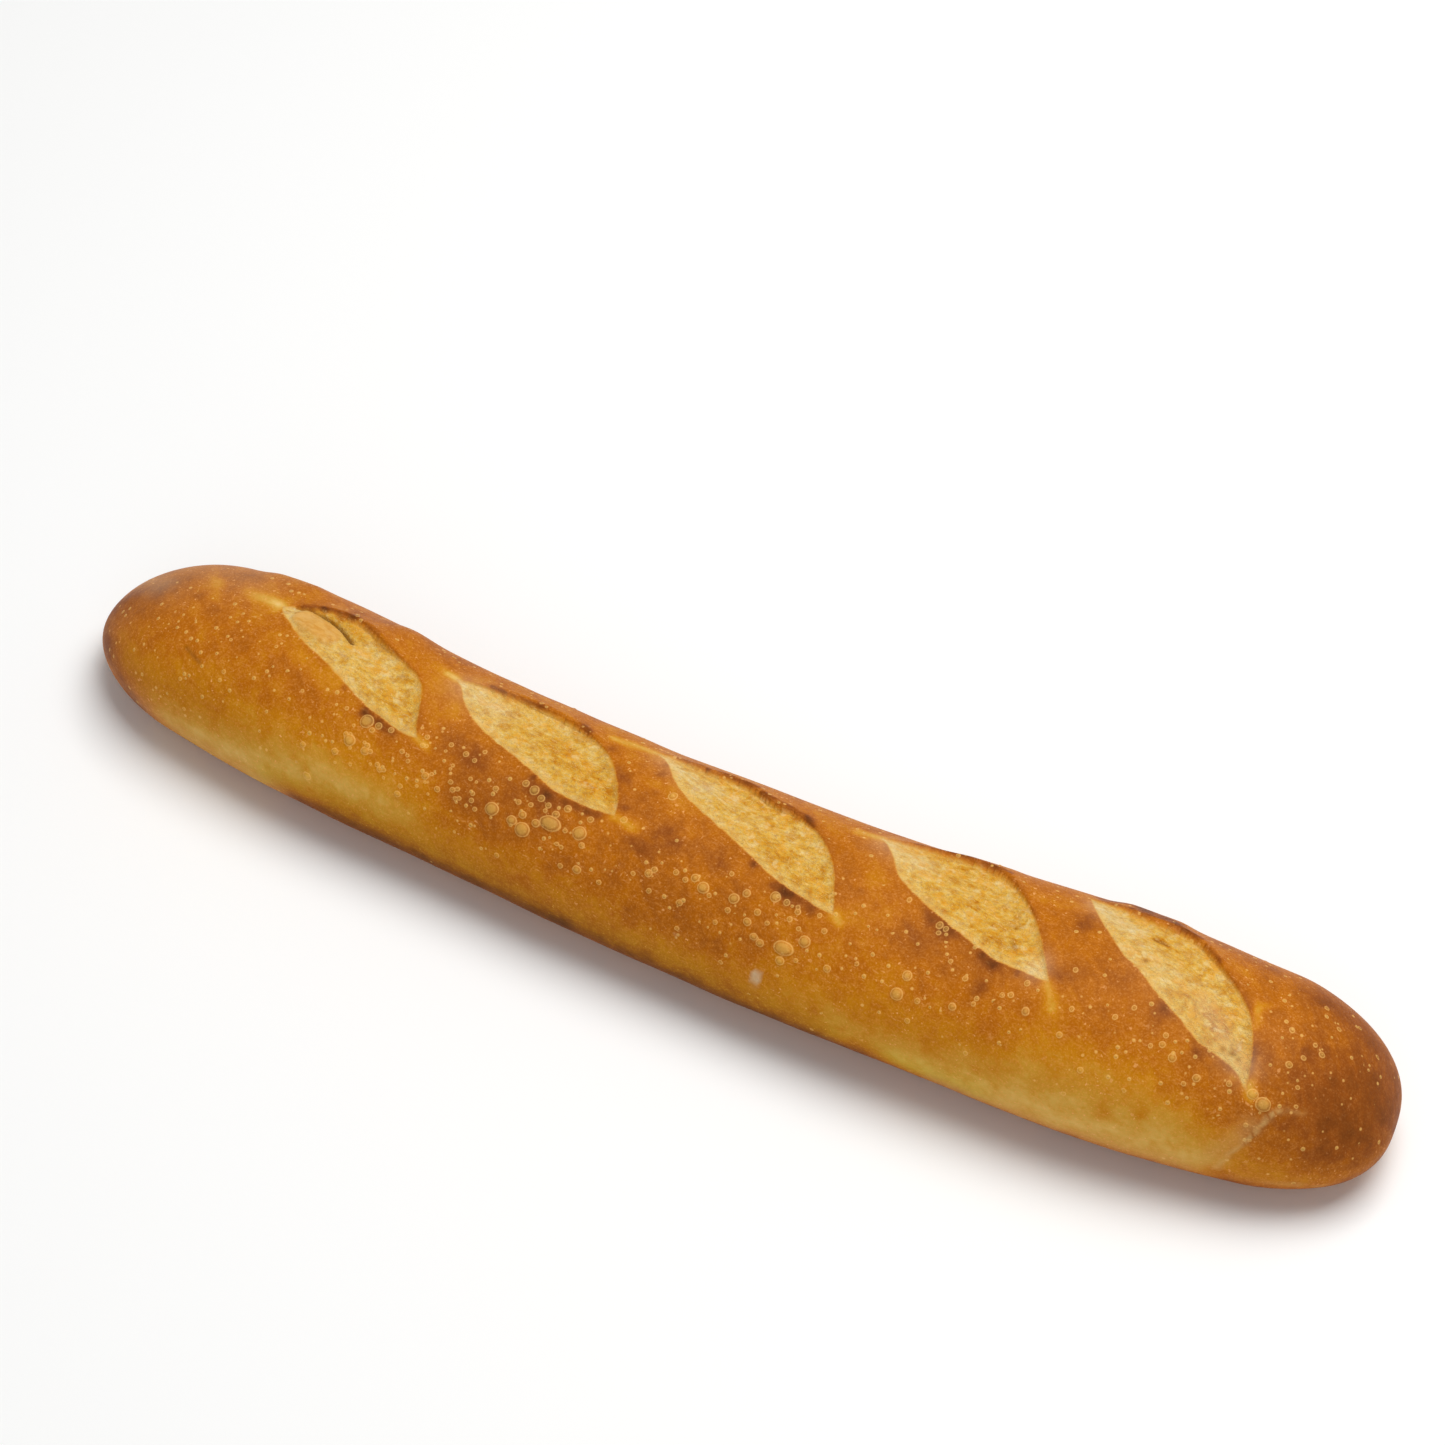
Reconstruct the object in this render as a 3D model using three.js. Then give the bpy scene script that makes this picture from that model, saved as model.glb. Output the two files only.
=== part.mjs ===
// A baked baguette: one bowed loaf with rounded ends, a flat base and five opened slashes on top.
// Millimetres, +X along the loaf, -Y towards the front of the bow, +Z up, base at z = 0.

import * as THREE from 'three';
import { mergeVertices } from 'three/addons/utils/BufferGeometryUtils.js';

// ---------------------------------------------------------------- driving sizes

const LENGTH = 440;

// Width and bow of the loaf at seven evenly spaced stations, from the -X end to the +X end.
const WIDTHS = [50.5, 67, 65, 67, 70, 73.5, 58];
const BOWS = [0, 5.4, 11, 13.4, 12.1, 8.2, 0];

const HEIGHT_PER_WIDTH = 0.7;
const WAIST_PER_HEIGHT = 0.43; // how high the widest line of the section runs
const BASE_DEPTH = 1.1; // over 1 flattens the base: the section is cut off at z = 0
const BASE_ROUNDING = 0.8; // powers that make the section a little squarer than an ellipse
const SIDE_ROUNDING = 0.95;
const TOP_ROUNDING = 0.97;
const NOSE_LIFT_ROUNDING = 0.8; // how late the base lifts off the table under a nose

// An end starts to close at |station| = start, and its nose sits at noseHeight of the section.
const LEFT_END = { start: 0.82, plan: 2.03, side: 1.8, noseHeight: 0.345 };
const RIGHT_END = { start: 0.828, plan: 2.83, side: 1.85, noseHeight: 0.375 };

// Slashes lie in the crust's own unrolled sheet: station runs along the loaf from its middle,
// side is the arc from the ridge line, positive towards +Y. near and far are the distances from
// the blade's line to the two edges of the opened cut, each widest at its peak along the cut.
const SLASHES = [
  {
    station: -123.5, side: -2.5, length: 68, turn: -16,
    near: { reach: 4.2, peak: 0.51, bluntness: 0.44 },
    far: { reach: 14.2, peak: 0.52, bluntness: 0.6 },
  },
  {
    station: -57.5, side: 0.5, length: 71.5, turn: -16,
    near: { reach: 6.3, peak: 0.46, bluntness: 0.61 },
    far: { reach: 16.1, peak: 0.55, bluntness: 0.59 },
  },
  {
    station: 14.5, side: 3, length: 79.5, turn: -23,
    near: { reach: 6.4, peak: 0.42, bluntness: 0.66 },
    far: { reach: 14.6, peak: 0.55, bluntness: 0.67 },
  },
  {
    station: 84, side: 4, length: 70, turn: -22,
    near: { reach: 7.4, peak: 0.49, bluntness: 0.43 },
    far: { reach: 17.4, peak: 0.47, bluntness: 1.07 },
  },
  {
    station: 148, side: 2, length: 75.5, turn: -34,
    near: { reach: 6.6, peak: 0.34, bluntness: 1.07 },
    far: { reach: 17.2, peak: 0.49, bluntness: 0.72 },
  },
];
const CRUST_RADIUS = 32; // arc length per radian of the unrolled sheet
const CRUMB_DEPTH = 3; // how far the crumb lies below the crust, just before the far edge
const CRUMB_DEEPEST = 0.72; // where that is, as a share of the cut's width from the near edge
const EAR_HEIGHT = 2; // the torn far edge stands up by this much
const EAR_FADE = 5; // and settles back into the crust over this distance
const OPENING = { peak: 0.5, bluntness: 0.8 }; // relief along a cut: none at its tips

// Gentle unevenness of the hand-rolled crust: height, radians of wave per half loaf and per
// turn around it, phase. It fades out down the flanks, between these heights of the section.
const LUMPS = [
  { height: 0.45, along: 5.3, around: 2, phase: 0.6 },
  { height: 0.35, along: 9.1, around: 3, phase: 2.1 },
  { height: 0.22, along: 15.7, around: 4, phase: 4.4 },
];
const LUMPS_FROM = -0.6;
const LUMPS_FULL = 0.1;

// Mesh: rings along the loaf crowd towards the ends, lines around it crowd towards the top.
const RINGS = 128;
const LINES_AROUND = 36;
const END_CROWDING = 0.75;
const TOP_CROWDING = 0.5;
const PROBE = 1e-3; // step in station or radians for slopes and outward directions
const WELD = 1e-3; // vertices closer than this are one

const CRUST_COLOR = 0xb87327;
const CRUST_ROUGHNESS = 0.5;

// ---------------------------------------------------------------- helpers

// Smooth curve through evenly spaced values, read at a station from -1 to 1 (Catmull-Rom).
function throughStations(values, station) {
  const last = values.length - 1;
  const place = ((THREE.MathUtils.clamp(station, -1, 1) + 1) / 2) * last;
  const index = Math.min(Math.floor(place), last - 1);
  const part = place - index;
  const start = values[index];
  const end = values[index + 1];
  const before = index > 0 ? values[index - 1] : 2 * start - end;
  const after = index < last - 1 ? values[index + 2] : 2 * end - start;
  const slope = end - before;
  const bend = 2 * before - 5 * start + 4 * end - after;
  const twist = 3 * start - before - 3 * end + after;
  return start + 0.5 * part * (slope + part * (bend + part * twist));
}

// Share of the full section left at a station: 1 along the body, falling to 0 at the nose.
function closing(station, start, roundness) {
  const inEnd = THREE.MathUtils.clamp((Math.abs(station) - start) / (1 - start), 0, 1);
  return (1 - inEnd ** 2) ** (1 / roundness);
}

// 0 at both tips of a cut and 1 at its peak, blunt for a small bluntness.
function leaf(along, { peak, bluntness }) {
  if (along <= 0 || along >= 1) return 0;
  const skewed = along ** (Math.log(0.5) / Math.log(peak));
  return Math.sin(Math.PI * skewed) ** bluntness;
}

// ---------------------------------------------------------------- loaf form

// Side offset and height of the smooth section at a station. The angle is 0 at +Y and runs
// over the top (a quarter turn) to -Y and back under the base.
function sectionPoint(station, angle) {
  const width = throughStations(WIDTHS, station);
  const height = width * HEIGHT_PER_WIDTH;
  const end = station < 0 ? LEFT_END : RIGHT_END;
  const inPlan = closing(station, end.start, end.plan);
  const inSide = closing(station, end.start, end.side);
  const nose = height * end.noseHeight;
  const waist = nose + (height * WAIST_PER_HEIGHT - nose) * inSide;
  const rise = height * (1 - WAIST_PER_HEIGHT) * inSide;
  const fall = BASE_DEPTH * (waist - nose * (1 - inSide ** NOSE_LIFT_ROUNDING));
  const across = Math.cos(angle);
  const upward = Math.sin(angle);
  const offset = (width / 2) * inPlan * Math.sign(across) * Math.abs(across) ** SIDE_ROUNDING;
  const z = upward > 0
    ? waist + rise * upward ** TOP_ROUNDING
    : waist - fall * (-upward) ** BASE_ROUNDING;
  return { offset, z: Math.max(z, 0) };
}

// Point of the smooth loaf: the section stands square to the bowed centre line.
function loafPoint(station, angle) {
  const ahead = Math.min(station + PROBE, 1);
  const behind = Math.max(station - PROBE, -1);
  const drop = throughStations(BOWS, behind) - throughStations(BOWS, ahead);
  const direction = new THREE.Vector2(((ahead - behind) * LENGTH) / 2, drop).normalize();
  const { offset, z } = sectionPoint(station, angle);
  return new THREE.Vector3(
    (station * LENGTH) / 2 - direction.y * offset,
    -throughStations(BOWS, station) + direction.x * offset,
    z,
  );
}

// ---------------------------------------------------------------- crust relief

// Height of one opened slash over the smooth crust, at a place on the unrolled sheet.
function slashRelief(slash, station, side) {
  const turn = THREE.MathUtils.degToRad(slash.turn);
  const east = station - slash.station;
  const north = side - slash.side;
  const along = (east * Math.cos(turn) + north * Math.sin(turn)) / slash.length + 0.5;
  const across = north * Math.cos(turn) - east * Math.sin(turn);
  const near = slash.near.reach * leaf(along, slash.near);
  const far = slash.far.reach * leaf(along, slash.far);
  if (near + far === 0 || across < -near) return 0;
  const openness = leaf(along, OPENING);
  if (across > far) return EAR_HEIGHT * openness * Math.exp((far - across) / EAR_FADE);
  const share = (across + near) / (near + far);
  const skewed = share ** (Math.log(0.5) / Math.log(CRUMB_DEEPEST));
  return -CRUMB_DEPTH * openness * Math.sin(Math.PI * skewed);
}

// All relief at a place on the sheet: slashes on top, and lumps that fade out on the base.
function crustRelief(station, angle) {
  const place = (station * LENGTH) / 2;
  const side = (Math.PI / 2 - angle) * CRUST_RADIUS;
  const aboveBase = THREE.MathUtils.smoothstep(Math.sin(angle), LUMPS_FROM, LUMPS_FULL);
  let height = 0;
  for (const lump of LUMPS) {
    const wave = lump.along * station + lump.around * angle + lump.phase;
    height += lump.height * aboveBase * Math.sin(wave);
  }
  for (const slash of SLASHES) height += slashRelief(slash, place, side);
  return height;
}

// ---------------------------------------------------------------- mesh

// Station and angle of a sphere vertex from its texture coordinates.
function placeOnLoaf(u, v) {
  const even = 2 * v - 1;
  const crowded = Math.sin((even * Math.PI) / 2);
  const station = THREE.MathUtils.lerp(even, crowded, END_CROWDING);
  const turn = 2 * u - 1;
  const fromTop = Math.PI * turn - TOP_CROWDING * Math.sin(Math.PI * turn);
  return { station: -station, angle: Math.PI / 2 - fromTop };
}

// A sphere's rings and lines carry the loaf: each vertex moves to its place on the crust.
function loafGeometry() {
  const geometry = new THREE.SphereGeometry(1, LINES_AROUND, RINGS);
  const position = geometry.getAttribute('position');
  const uv = geometry.getAttribute('uv');
  for (let index = 0; index < position.count; index += 1) {
    const { station, angle } = placeOnLoaf(uv.getX(index), uv.getY(index));
    const point = loafPoint(station, angle);
    if (Math.abs(station) < 1) {
      const along = loafPoint(station + PROBE, angle).sub(loafPoint(station - PROBE, angle));
      const around = loafPoint(station, angle + PROBE).sub(loafPoint(station, angle - PROBE));
      const outward = along.cross(around).normalize();
      point.addScaledVector(outward, crustRelief(station, angle));
      point.z = Math.max(point.z, 0);
    }
    position.setXYZ(index, point.x, point.y, point.z);
  }
  geometry.deleteAttribute('normal');
  geometry.deleteAttribute('uv');
  return mergeVertices(geometry, WELD);
}

// Stands the loaf on z = 0 with the middle of its box on the Z axis.
function centredOnBase(geometry) {
  geometry.computeBoundingBox();
  const middle = geometry.boundingBox.getCenter(new THREE.Vector3());
  geometry.translate(-middle.x, -middle.y, -geometry.boundingBox.min.z);
  geometry.computeVertexNormals();
  return geometry;
}

const crust = new THREE.MeshStandardMaterial({
  color: CRUST_COLOR,
  roughness: CRUST_ROUGHNESS,
  metalness: 0,
});
const loaf = new THREE.Mesh(centredOnBase(loafGeometry()), crust);
loaf.name = 'loaf';

const group = new THREE.Group();
group.add(loaf);

export default group;
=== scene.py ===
"""A baked baguette: one bowed loaf with opened slashes, oven blisters and a flat base.

The loaf is worked out on its crust's own unrolled sheet. A place on that sheet is its station,
the distance along the loaf from its middle, and its side, the arc from the ridge line, positive
towards +Y. Both are in millimetres, and so is every size here, until a mesh or a node gets it.
"""

import logging
import math
from collections.abc import Iterable
from dataclasses import dataclass, field
from enum import Enum
from typing import Any

import bmesh
import bpy
import numpy as np
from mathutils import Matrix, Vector, noise


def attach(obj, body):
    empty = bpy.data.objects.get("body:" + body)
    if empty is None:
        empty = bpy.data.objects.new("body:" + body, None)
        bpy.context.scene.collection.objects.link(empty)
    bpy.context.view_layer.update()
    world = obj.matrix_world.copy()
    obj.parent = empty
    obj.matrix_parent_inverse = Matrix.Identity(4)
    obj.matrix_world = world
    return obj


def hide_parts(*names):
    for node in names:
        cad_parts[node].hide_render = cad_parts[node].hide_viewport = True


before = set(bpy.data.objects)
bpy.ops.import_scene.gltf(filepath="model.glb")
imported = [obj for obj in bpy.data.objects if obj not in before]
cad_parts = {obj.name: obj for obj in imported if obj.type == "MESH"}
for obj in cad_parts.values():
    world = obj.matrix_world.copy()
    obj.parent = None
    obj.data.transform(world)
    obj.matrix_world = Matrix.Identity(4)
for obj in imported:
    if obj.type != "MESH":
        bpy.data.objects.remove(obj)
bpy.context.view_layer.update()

LOG = logging.getLogger("baguette")
MILLIMETRE = 0.001  # in metres
SMALLEST = 1e-9  # divisors are kept from falling below it


class Tag(Enum):
    """What each point of the crust knows about its place, as a mesh attribute."""

    TOAST_AND_SHADING = "toast_and_shading"  # how brown the oven made it, with painted shade and painted light low on the flank, 0 to 1
    CUT = "cut"  # distance to a slash's outline, positive on the crumb
    NEAR = "near"  # distance to the nearest near edge of a slash
    FAR = "far"  # distance to the nearest far edge of a slash
    BUBBLE = "bubble"  # distance to the rim of the nearest large blister, negative in it
    FOAM = "foam"  # share of the small blisters that grew here, 0 to 1
    SEAM = "seam"  # pale stretched dough along a crease, 0 to 1
    FLOUR = "flour"  # flour left on the crust, 0 to 1
    FLANK_SHADE = "flank_shade"  # painted shade low on the flank, darker and yellower, 0 to 1
    FLAP = "flap"  # smooth skin torn loose in the first slash, 0 to 1
    PIT = "pit"  # shade in pits and slits, 0 to 1


def linear(hex_colour: str) -> tuple[float, float, float, float]:
    """Turns an sRGB colour into the linear one that shaders take.

    Args:
        hex_colour: the colour as "#rrggbb".

    Returns:
        Red, green, blue and an alpha of 1.
    """
    parts = [int(hex_colour[start:start + 2], 16) / 255 for start in (1, 3, 5)]
    return (*(p / 12.92 if p <= 0.04045 else ((p + 0.055) / 1.055) ** 2.4 for p in parts), 1.0)


def bell(distance: np.ndarray, radius: float) -> np.ndarray:
    """Falls smoothly from 1 at no distance to nearly 0 at twice the radius.

    Args:
        distance: distances, of either sign.
        radius: where the bell is down to a third.

    Returns:
        A share for each distance.
    """
    return np.exp(-((distance / radius) ** 2))


def step_up(value: np.ndarray, low: float, high: float) -> np.ndarray:
    """Rises smoothly from 0 at low to 1 at high.

    Args:
        value: where to read it.
        low: the value that gives 0.
        high: the value that gives 1.

    Returns:
        A share for each value.
    """
    share = np.clip((value - low) / (high - low), 0, 1)
    return share * share * (3 - 2 * share)


def smooth_curve(values: tuple[float, ...], place: np.ndarray) -> np.ndarray:
    """Reads a smooth curve through evenly spaced values (Catmull-Rom).

    Args:
        values: the values, from the first place to the last.
        place: where to read, 0 at the first value and 1 at the last.

    Returns:
        The curve's value at each place.
    """
    known = np.array(values)
    last = len(values) - 1
    spot_on = np.clip(place, 0, 1) * last
    index = np.minimum(spot_on.astype(int), last - 1)
    part = spot_on - index
    start, end = known[index], known[index + 1]
    before = np.where(index > 0, known[np.maximum(index - 1, 0)], 2 * start - end)
    after = np.where(index < last - 1, known[np.minimum(index + 2, last)], 2 * end - start)
    slope = end - before
    bend = 2 * before - 5 * start + 4 * end - after
    twist = 3 * start - before - 3 * end + after
    return start + 0.5 * part * (slope + part * (bend + part * twist))


def laid_flat(station: np.ndarray, side: np.ndarray) -> np.ndarray:
    """Lays places of the sheet out as points in a plane, one row each."""
    return np.stack([station, side, np.zeros_like(side)], axis=-1)


@dataclass(frozen=True)
class Unevenness:
    """Smooth random swells of one height and one size. Another seed gives other swells."""

    height: float
    size: float
    seed: float

    def at(self, points: np.ndarray) -> np.ndarray:
        """Reads the swells.

        Args:
            points: places in millimetres, one row each.

        Returns:
            A number for each place, from about minus the height to plus the height.
        """
        shifted = points / self.size + self.seed
        return self.height * np.array([noise.noise(Vector(place)) for place in shifted])


class EndView(Enum):
    """From where the rounding of an end is seen."""

    PLAN = "plan"
    SIDE = "side"


@dataclass(frozen=True)
class LoafEnd:
    """How one end closes: from where, how bluntly from above and the side, and its nose."""

    start: float
    plan: float
    side: float
    nose_height: float

    def rounding(self, view: EndView) -> float:
        """Gives how bluntly the end closes in one view."""
        return self.plan if view is EndView.PLAN else self.side


@dataclass(frozen=True)
class LoafForm:
    """The smooth loaf: a rounded, flat-based section carried along a bowed centre line."""

    length: float = 440.0
    # Full width, and bow towards -Y, evenly spaced from nose to nose.
    widths: tuple[float, ...] = (50.5, 67.0, 65.0, 67.0, 70.0, 73.5, 58.0)
    bows: tuple[float, ...] = (0.0, 5.4, 11.0, 13.4, 12.1, 8.2, 0.0)
    height_per_width: float = 0.7
    waist_per_height: float = 0.43
    base_depth: float = 1.1
    base_rounding: float = 0.8
    side_rounding: float = 0.95
    top_rounding: float = 0.97
    nose_lift_rounding: float = 0.8
    left: LoafEnd = LoafEnd(start=0.82, plan=2.03, side=1.8, nose_height=0.345)
    right: LoafEnd = LoafEnd(start=0.828, plan=2.83, side=1.85, nose_height=0.375)
    crust_radius: float = 32.0  # arc per radian of the unrolled sheet
    centring: tuple[float, float] = (-0.35, 8.87)  # puts the middle of the box over the origin
    probe: float = 1e-3  # step of the station and of the angle that slopes are read over
    noses_from: float = 1 - 1e-6  # station from which outward is along the loaf

    def width_at(self, station: np.ndarray) -> np.ndarray:
        """Gives the loaf's full width, before an end closes it."""
        return smooth_curve(self.widths, (station + 1) / 2)

    def bow_at(self, station: np.ndarray) -> np.ndarray:
        """Gives how far the loaf bows towards -Y."""
        return smooth_curve(self.bows, (station + 1) / 2)

    def closing(self, station: np.ndarray, view: EndView) -> np.ndarray:
        """Gives the share of the full section that is left, 1 along the body and 0 at a nose.

        Args:
            station: where to read, from -1 to 1.
            view: the plan for the width, the side for the height.

        Returns:
            A share for each station.
        """
        left = station < 0
        start = np.where(left, self.left.start, self.right.start)
        roundness = np.where(left, self.left.rounding(view), self.right.rounding(view))
        in_end = np.clip((np.abs(station) - start) / (1 - start), 0, 1)
        return (1 - in_end**2) ** (1 / roundness)

    def section(self, station: np.ndarray, angle: np.ndarray) -> tuple[np.ndarray, np.ndarray]:
        """Places points on the smooth section.

        Args:
            station: from -1 to 1.
            angle: 0 at +Y, a quarter turn on top, half a turn at -Y.

        Returns:
            The side offset from the centre line, and the height.
        """
        width = self.width_at(station)
        height = width * self.height_per_width
        in_plan = self.closing(station, EndView.PLAN)
        in_side = self.closing(station, EndView.SIDE)
        nose = height * np.where(station < 0, self.left.nose_height, self.right.nose_height)
        waist = nose + (height * self.waist_per_height - nose) * in_side
        rise = height * (1 - self.waist_per_height) * in_side
        fall = self.base_depth * (waist - nose * (1 - in_side**self.nose_lift_rounding))
        across, upward = np.cos(angle), np.sin(angle)
        offset = width / 2 * in_plan * np.sign(across) * np.abs(across) ** self.side_rounding
        over = waist + rise * np.abs(upward) ** self.top_rounding
        under = waist - fall * np.abs(upward) ** self.base_rounding
        return offset, np.maximum(np.where(upward > 0, over, under), 0)

    def point(self, station: np.ndarray, angle: np.ndarray) -> np.ndarray:
        """Places points on the smooth loaf, its section square to the bowed centre line.

        Args:
            station: from -1 to 1.
            angle: round the section, as for section.

        Returns:
            One row of x, y and z for each pair.
        """
        ahead = np.minimum(station + self.probe, 1)
        behind = np.maximum(station - self.probe, -1)
        drop = self.bow_at(behind) - self.bow_at(ahead)
        run = (ahead - behind) * self.length / 2
        norm = np.hypot(run, drop)
        offset, height = self.section(station, angle)
        x = station * self.length / 2 - drop / norm * offset + self.centring[0]
        y = run / norm * offset - self.bow_at(station) + self.centring[1]
        return np.stack([x, y, height], axis=-1)

    def slopes(self, station: np.ndarray, angle: np.ndarray) -> tuple[np.ndarray, np.ndarray]:
        """Finds the directions along the loaf and up over it to the far side.

        Args:
            station: from -1 to 1.
            angle: round the section.

        Returns:
            Two rows of directions, each of length 1 except at a nose, where it is 0.
        """
        behind = np.maximum(station - self.probe, -1)
        ahead = np.minimum(station + self.probe, 1)
        along = self.point(ahead, angle) - self.point(behind, angle)
        over = self.point(station, angle - self.probe) - self.point(station, angle + self.probe)
        return self._unit(along), self._unit(over)

    def outward(self, station: np.ndarray, angle: np.ndarray) -> np.ndarray:
        """Finds the directions square to the crust, pointing out of the loaf.

        Args:
            station: from -1 to 1.
            angle: round the section.

        Returns:
            One row for each place.
        """
        along, over = self.slopes(station, angle)
        square = self._unit(np.cross(along, over))
        lengthwise = np.sign(station)[:, None] * np.array([1.0, 0.0, 0.0])
        return np.where(np.abs(station)[:, None] > self.noses_from, lengthwise, square)

    @staticmethod
    def _unit(rows: np.ndarray) -> np.ndarray:
        """Scales each row to length 1, and leaves a row of zeros."""
        return rows / np.maximum(np.linalg.norm(rows, axis=-1, keepdims=True), SMALLEST)


@dataclass(frozen=True)
class CutRelief:
    """What the slashes do to the crust and the crumb, at each point."""

    height: np.ndarray
    ear: np.ndarray  # share of an ear, 0 to 1
    lean: np.ndarray  # along the loaf and over it


@dataclass(frozen=True)
class CutReading:
    """What one slash measures at many places of the sheet."""

    cut: np.ndarray
    near: np.ndarray
    far: np.ndarray
    openness: np.ndarray
    height: np.ndarray
    lean: np.ndarray


Outline = tuple[tuple[float, float], ...]


@dataclass(frozen=True)
class Slash:
    """A cut that opened in the oven: sunken crumb, a low near rim and a torn ear behind it.

    Both edges are places on the sheet, from the shared -X tip to the shared +X tip.
    """

    near: Outline
    far: Outline
    openness_rounding: float = 0.8  # the lower, the more bluntly its tips open
    crumb_depth: float = 2.3
    crumb_deepest: float = 0.72  # share of the way over to the far edge
    rim_height: float = 0.3
    rim_fade: float = 1.4
    ear_height: float = 1.9
    ear_fade: float = 4.5
    ear_start: tuple[float, float] = (0.1, 0.55)  # it comes up between these shares of the cut
    ear_lean: float = 0.9
    lean_fade: float = 1.6
    lip_thinning: float = 0.6  # share of the ear's height that its torn lip lacks
    lip_width: float = 0.5
    undercut: float = 0.9
    undercut_width: float = 1.2
    reach: float = 14.0  # relief ends this far outside the outline
    samples: int = 64

    def read(self, station: np.ndarray, side: np.ndarray) -> CutReading:
        """Measures the slash at places near it.

        Args:
            station: along the loaf.
            side: over the loaf.

        Returns:
            Distances to its edges, its relief, and how far its ear leans over the crumb.
        """
        near_line, far_line = self._line(self.near), self._line(self.far)
        near = self._distance(station, side, near_line)
        far = self._distance(station, side, far_line)
        inside = self._inside(station, side, np.concatenate([near_line, far_line[::-1]]))
        cut = np.where(inside, 1, -1) * np.minimum(near, far)
        along = np.clip(self._along(station, side), 0, 1)
        openness = np.sin(np.pi * along) ** self.openness_rounding
        lifted = openness * step_up(1 - along, *self.ear_start)
        behind = ~inside & (far < near)
        share = near / np.maximum(near + far, SMALLEST)
        skewed = share ** (math.log(0.5) / math.log(self.crumb_deepest))
        floor = -self.crumb_depth * openness * np.sin(np.pi * skewed)
        floor -= self.undercut * lifted * bell(far, self.undercut_width)
        thinned = 1 - self.lip_thinning * bell(far, self.lip_width)
        ear = self.ear_height * lifted * thinned * np.exp(-far / self.ear_fade)
        rim = self.rim_height * openness * np.exp(-near / self.rim_fade)
        height = np.where(inside, floor, np.where(behind, ear, rim))
        lean = lifted * self.ear_lean * np.where(behind, np.exp(-far / self.lean_fade), 0)
        return CutReading(cut, near, far, openness, height, lean)

    def turn(self) -> float:
        """Gives the angle of the cut to the loaf's length, in radians."""
        (ax, ay), (bx, by) = self.near[0], self.near[-1]
        return math.atan2(by - ay, bx - ax)

    def around(self, station: np.ndarray, side: np.ndarray, margin: float) -> np.ndarray:
        """Picks the places in a box round the slash, so that only they are measured.

        Args:
            station: along the loaf.
            side: over the loaf.
            margin: room round the slash.

        Returns:
            True for each place in the box.
        """
        low = np.min(self.near + self.far, axis=0) - margin
        high = np.max(self.near + self.far, axis=0) + margin
        return (station > low[0]) & (station < high[0]) & (side > low[1]) & (side < high[1])

    def _along(self, station: np.ndarray, side: np.ndarray) -> np.ndarray:
        """Gives the share of the cut's length, from tip to tip.

        Args:
            station: along the loaf.
            side: over the loaf.

        Returns:
            0 beside the -X tip and 1 beside the +X tip, for each place.
        """
        start, end = np.array(self.near[0]), np.array(self.near[-1])
        reach = end - start
        return ((station - start[0]) * reach[0] + (side - start[1]) * reach[1]) / (reach @ reach)

    def _line(self, edge: Outline) -> np.ndarray:
        """Draws a smooth line through an edge's places, one row per sample."""
        shares = np.linspace(0, 1, self.samples)
        return np.stack([smooth_curve(values, shares) for values in zip(*edge)], axis=-1)

    @staticmethod
    def _inside(station: np.ndarray, side: np.ndarray, loop: np.ndarray) -> np.ndarray:
        """Says which places lie inside a closed loop, by counting the sides to their left.

        Args:
            station: along the loaf.
            side: over the loaf.
            loop: the loop's corners, one row each.

        Returns:
            True for each place inside.
        """
        inside = np.zeros(station.shape, bool)
        for (ax, ay), (bx, by) in zip(loop, np.roll(loop, -1, axis=0)):
            if ay != by:
                crossed = (ay > side) != (by > side)
                inside ^= crossed & (station < ax + (side - ay) * (bx - ax) / (by - ay))
        return inside

    @staticmethod
    def _distance(station: np.ndarray, side: np.ndarray, line: np.ndarray) -> np.ndarray:
        """Measures the least distance to a line of samples.

        Args:
            station: along the loaf.
            side: over the loaf.
            line: the line's corners, one row each.

        Returns:
            The distance for each place.
        """
        best = np.full(station.shape, np.inf)
        for (ax, ay), (bx, by) in zip(line[:-1], line[1:]):
            best = np.minimum(best, Stroke((ax, ay), (bx, by), 1.0).distance(station, side))
        return best


@dataclass(frozen=True)
class Stroke:
    """A soft mark on the sheet from one place to another, such as a toasted streak."""

    start: tuple[float, float]
    end: tuple[float, float]
    radius: float
    strength: float = 1.0

    def distance(self, station: np.ndarray, side: np.ndarray) -> np.ndarray:
        """Measures the distance to the stroke's line.

        Args:
            station: along the loaf.
            side: over the loaf.

        Returns:
            The least distance for each place.
        """
        (ax, ay), (bx, by) = self.start, self.end
        reach = max((bx - ax) ** 2 + (by - ay) ** 2, SMALLEST)
        part = np.clip(((station - ax) * (bx - ax) + (side - ay) * (by - ay)) / reach, 0, 1)
        return np.hypot(station - ax - part * (bx - ax), side - ay - part * (by - ay))

    def at(self, station: np.ndarray, side: np.ndarray) -> np.ndarray:
        """Gives the mark's strength at each place."""
        return self.strength * bell(self.distance(station, side), self.radius)


def spot(station: float, side: float, radius: float, strength: float = 1.0) -> Stroke:
    """Makes a round mark.

    Args:
        station: along the loaf.
        side: over the loaf.
        radius: of the mark.
        strength: at its middle.

    Returns:
        The mark, as a stroke of no length.
    """
    return Stroke((station, side), (station, side), radius, strength)


def strongest(marks: Iterable[Stroke], station: np.ndarray, side: np.ndarray) -> np.ndarray:
    """Reads several marks at once, and gives the strongest at each place."""
    return np.max([mark.at(station, side) for mark in marks], axis=0)


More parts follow.
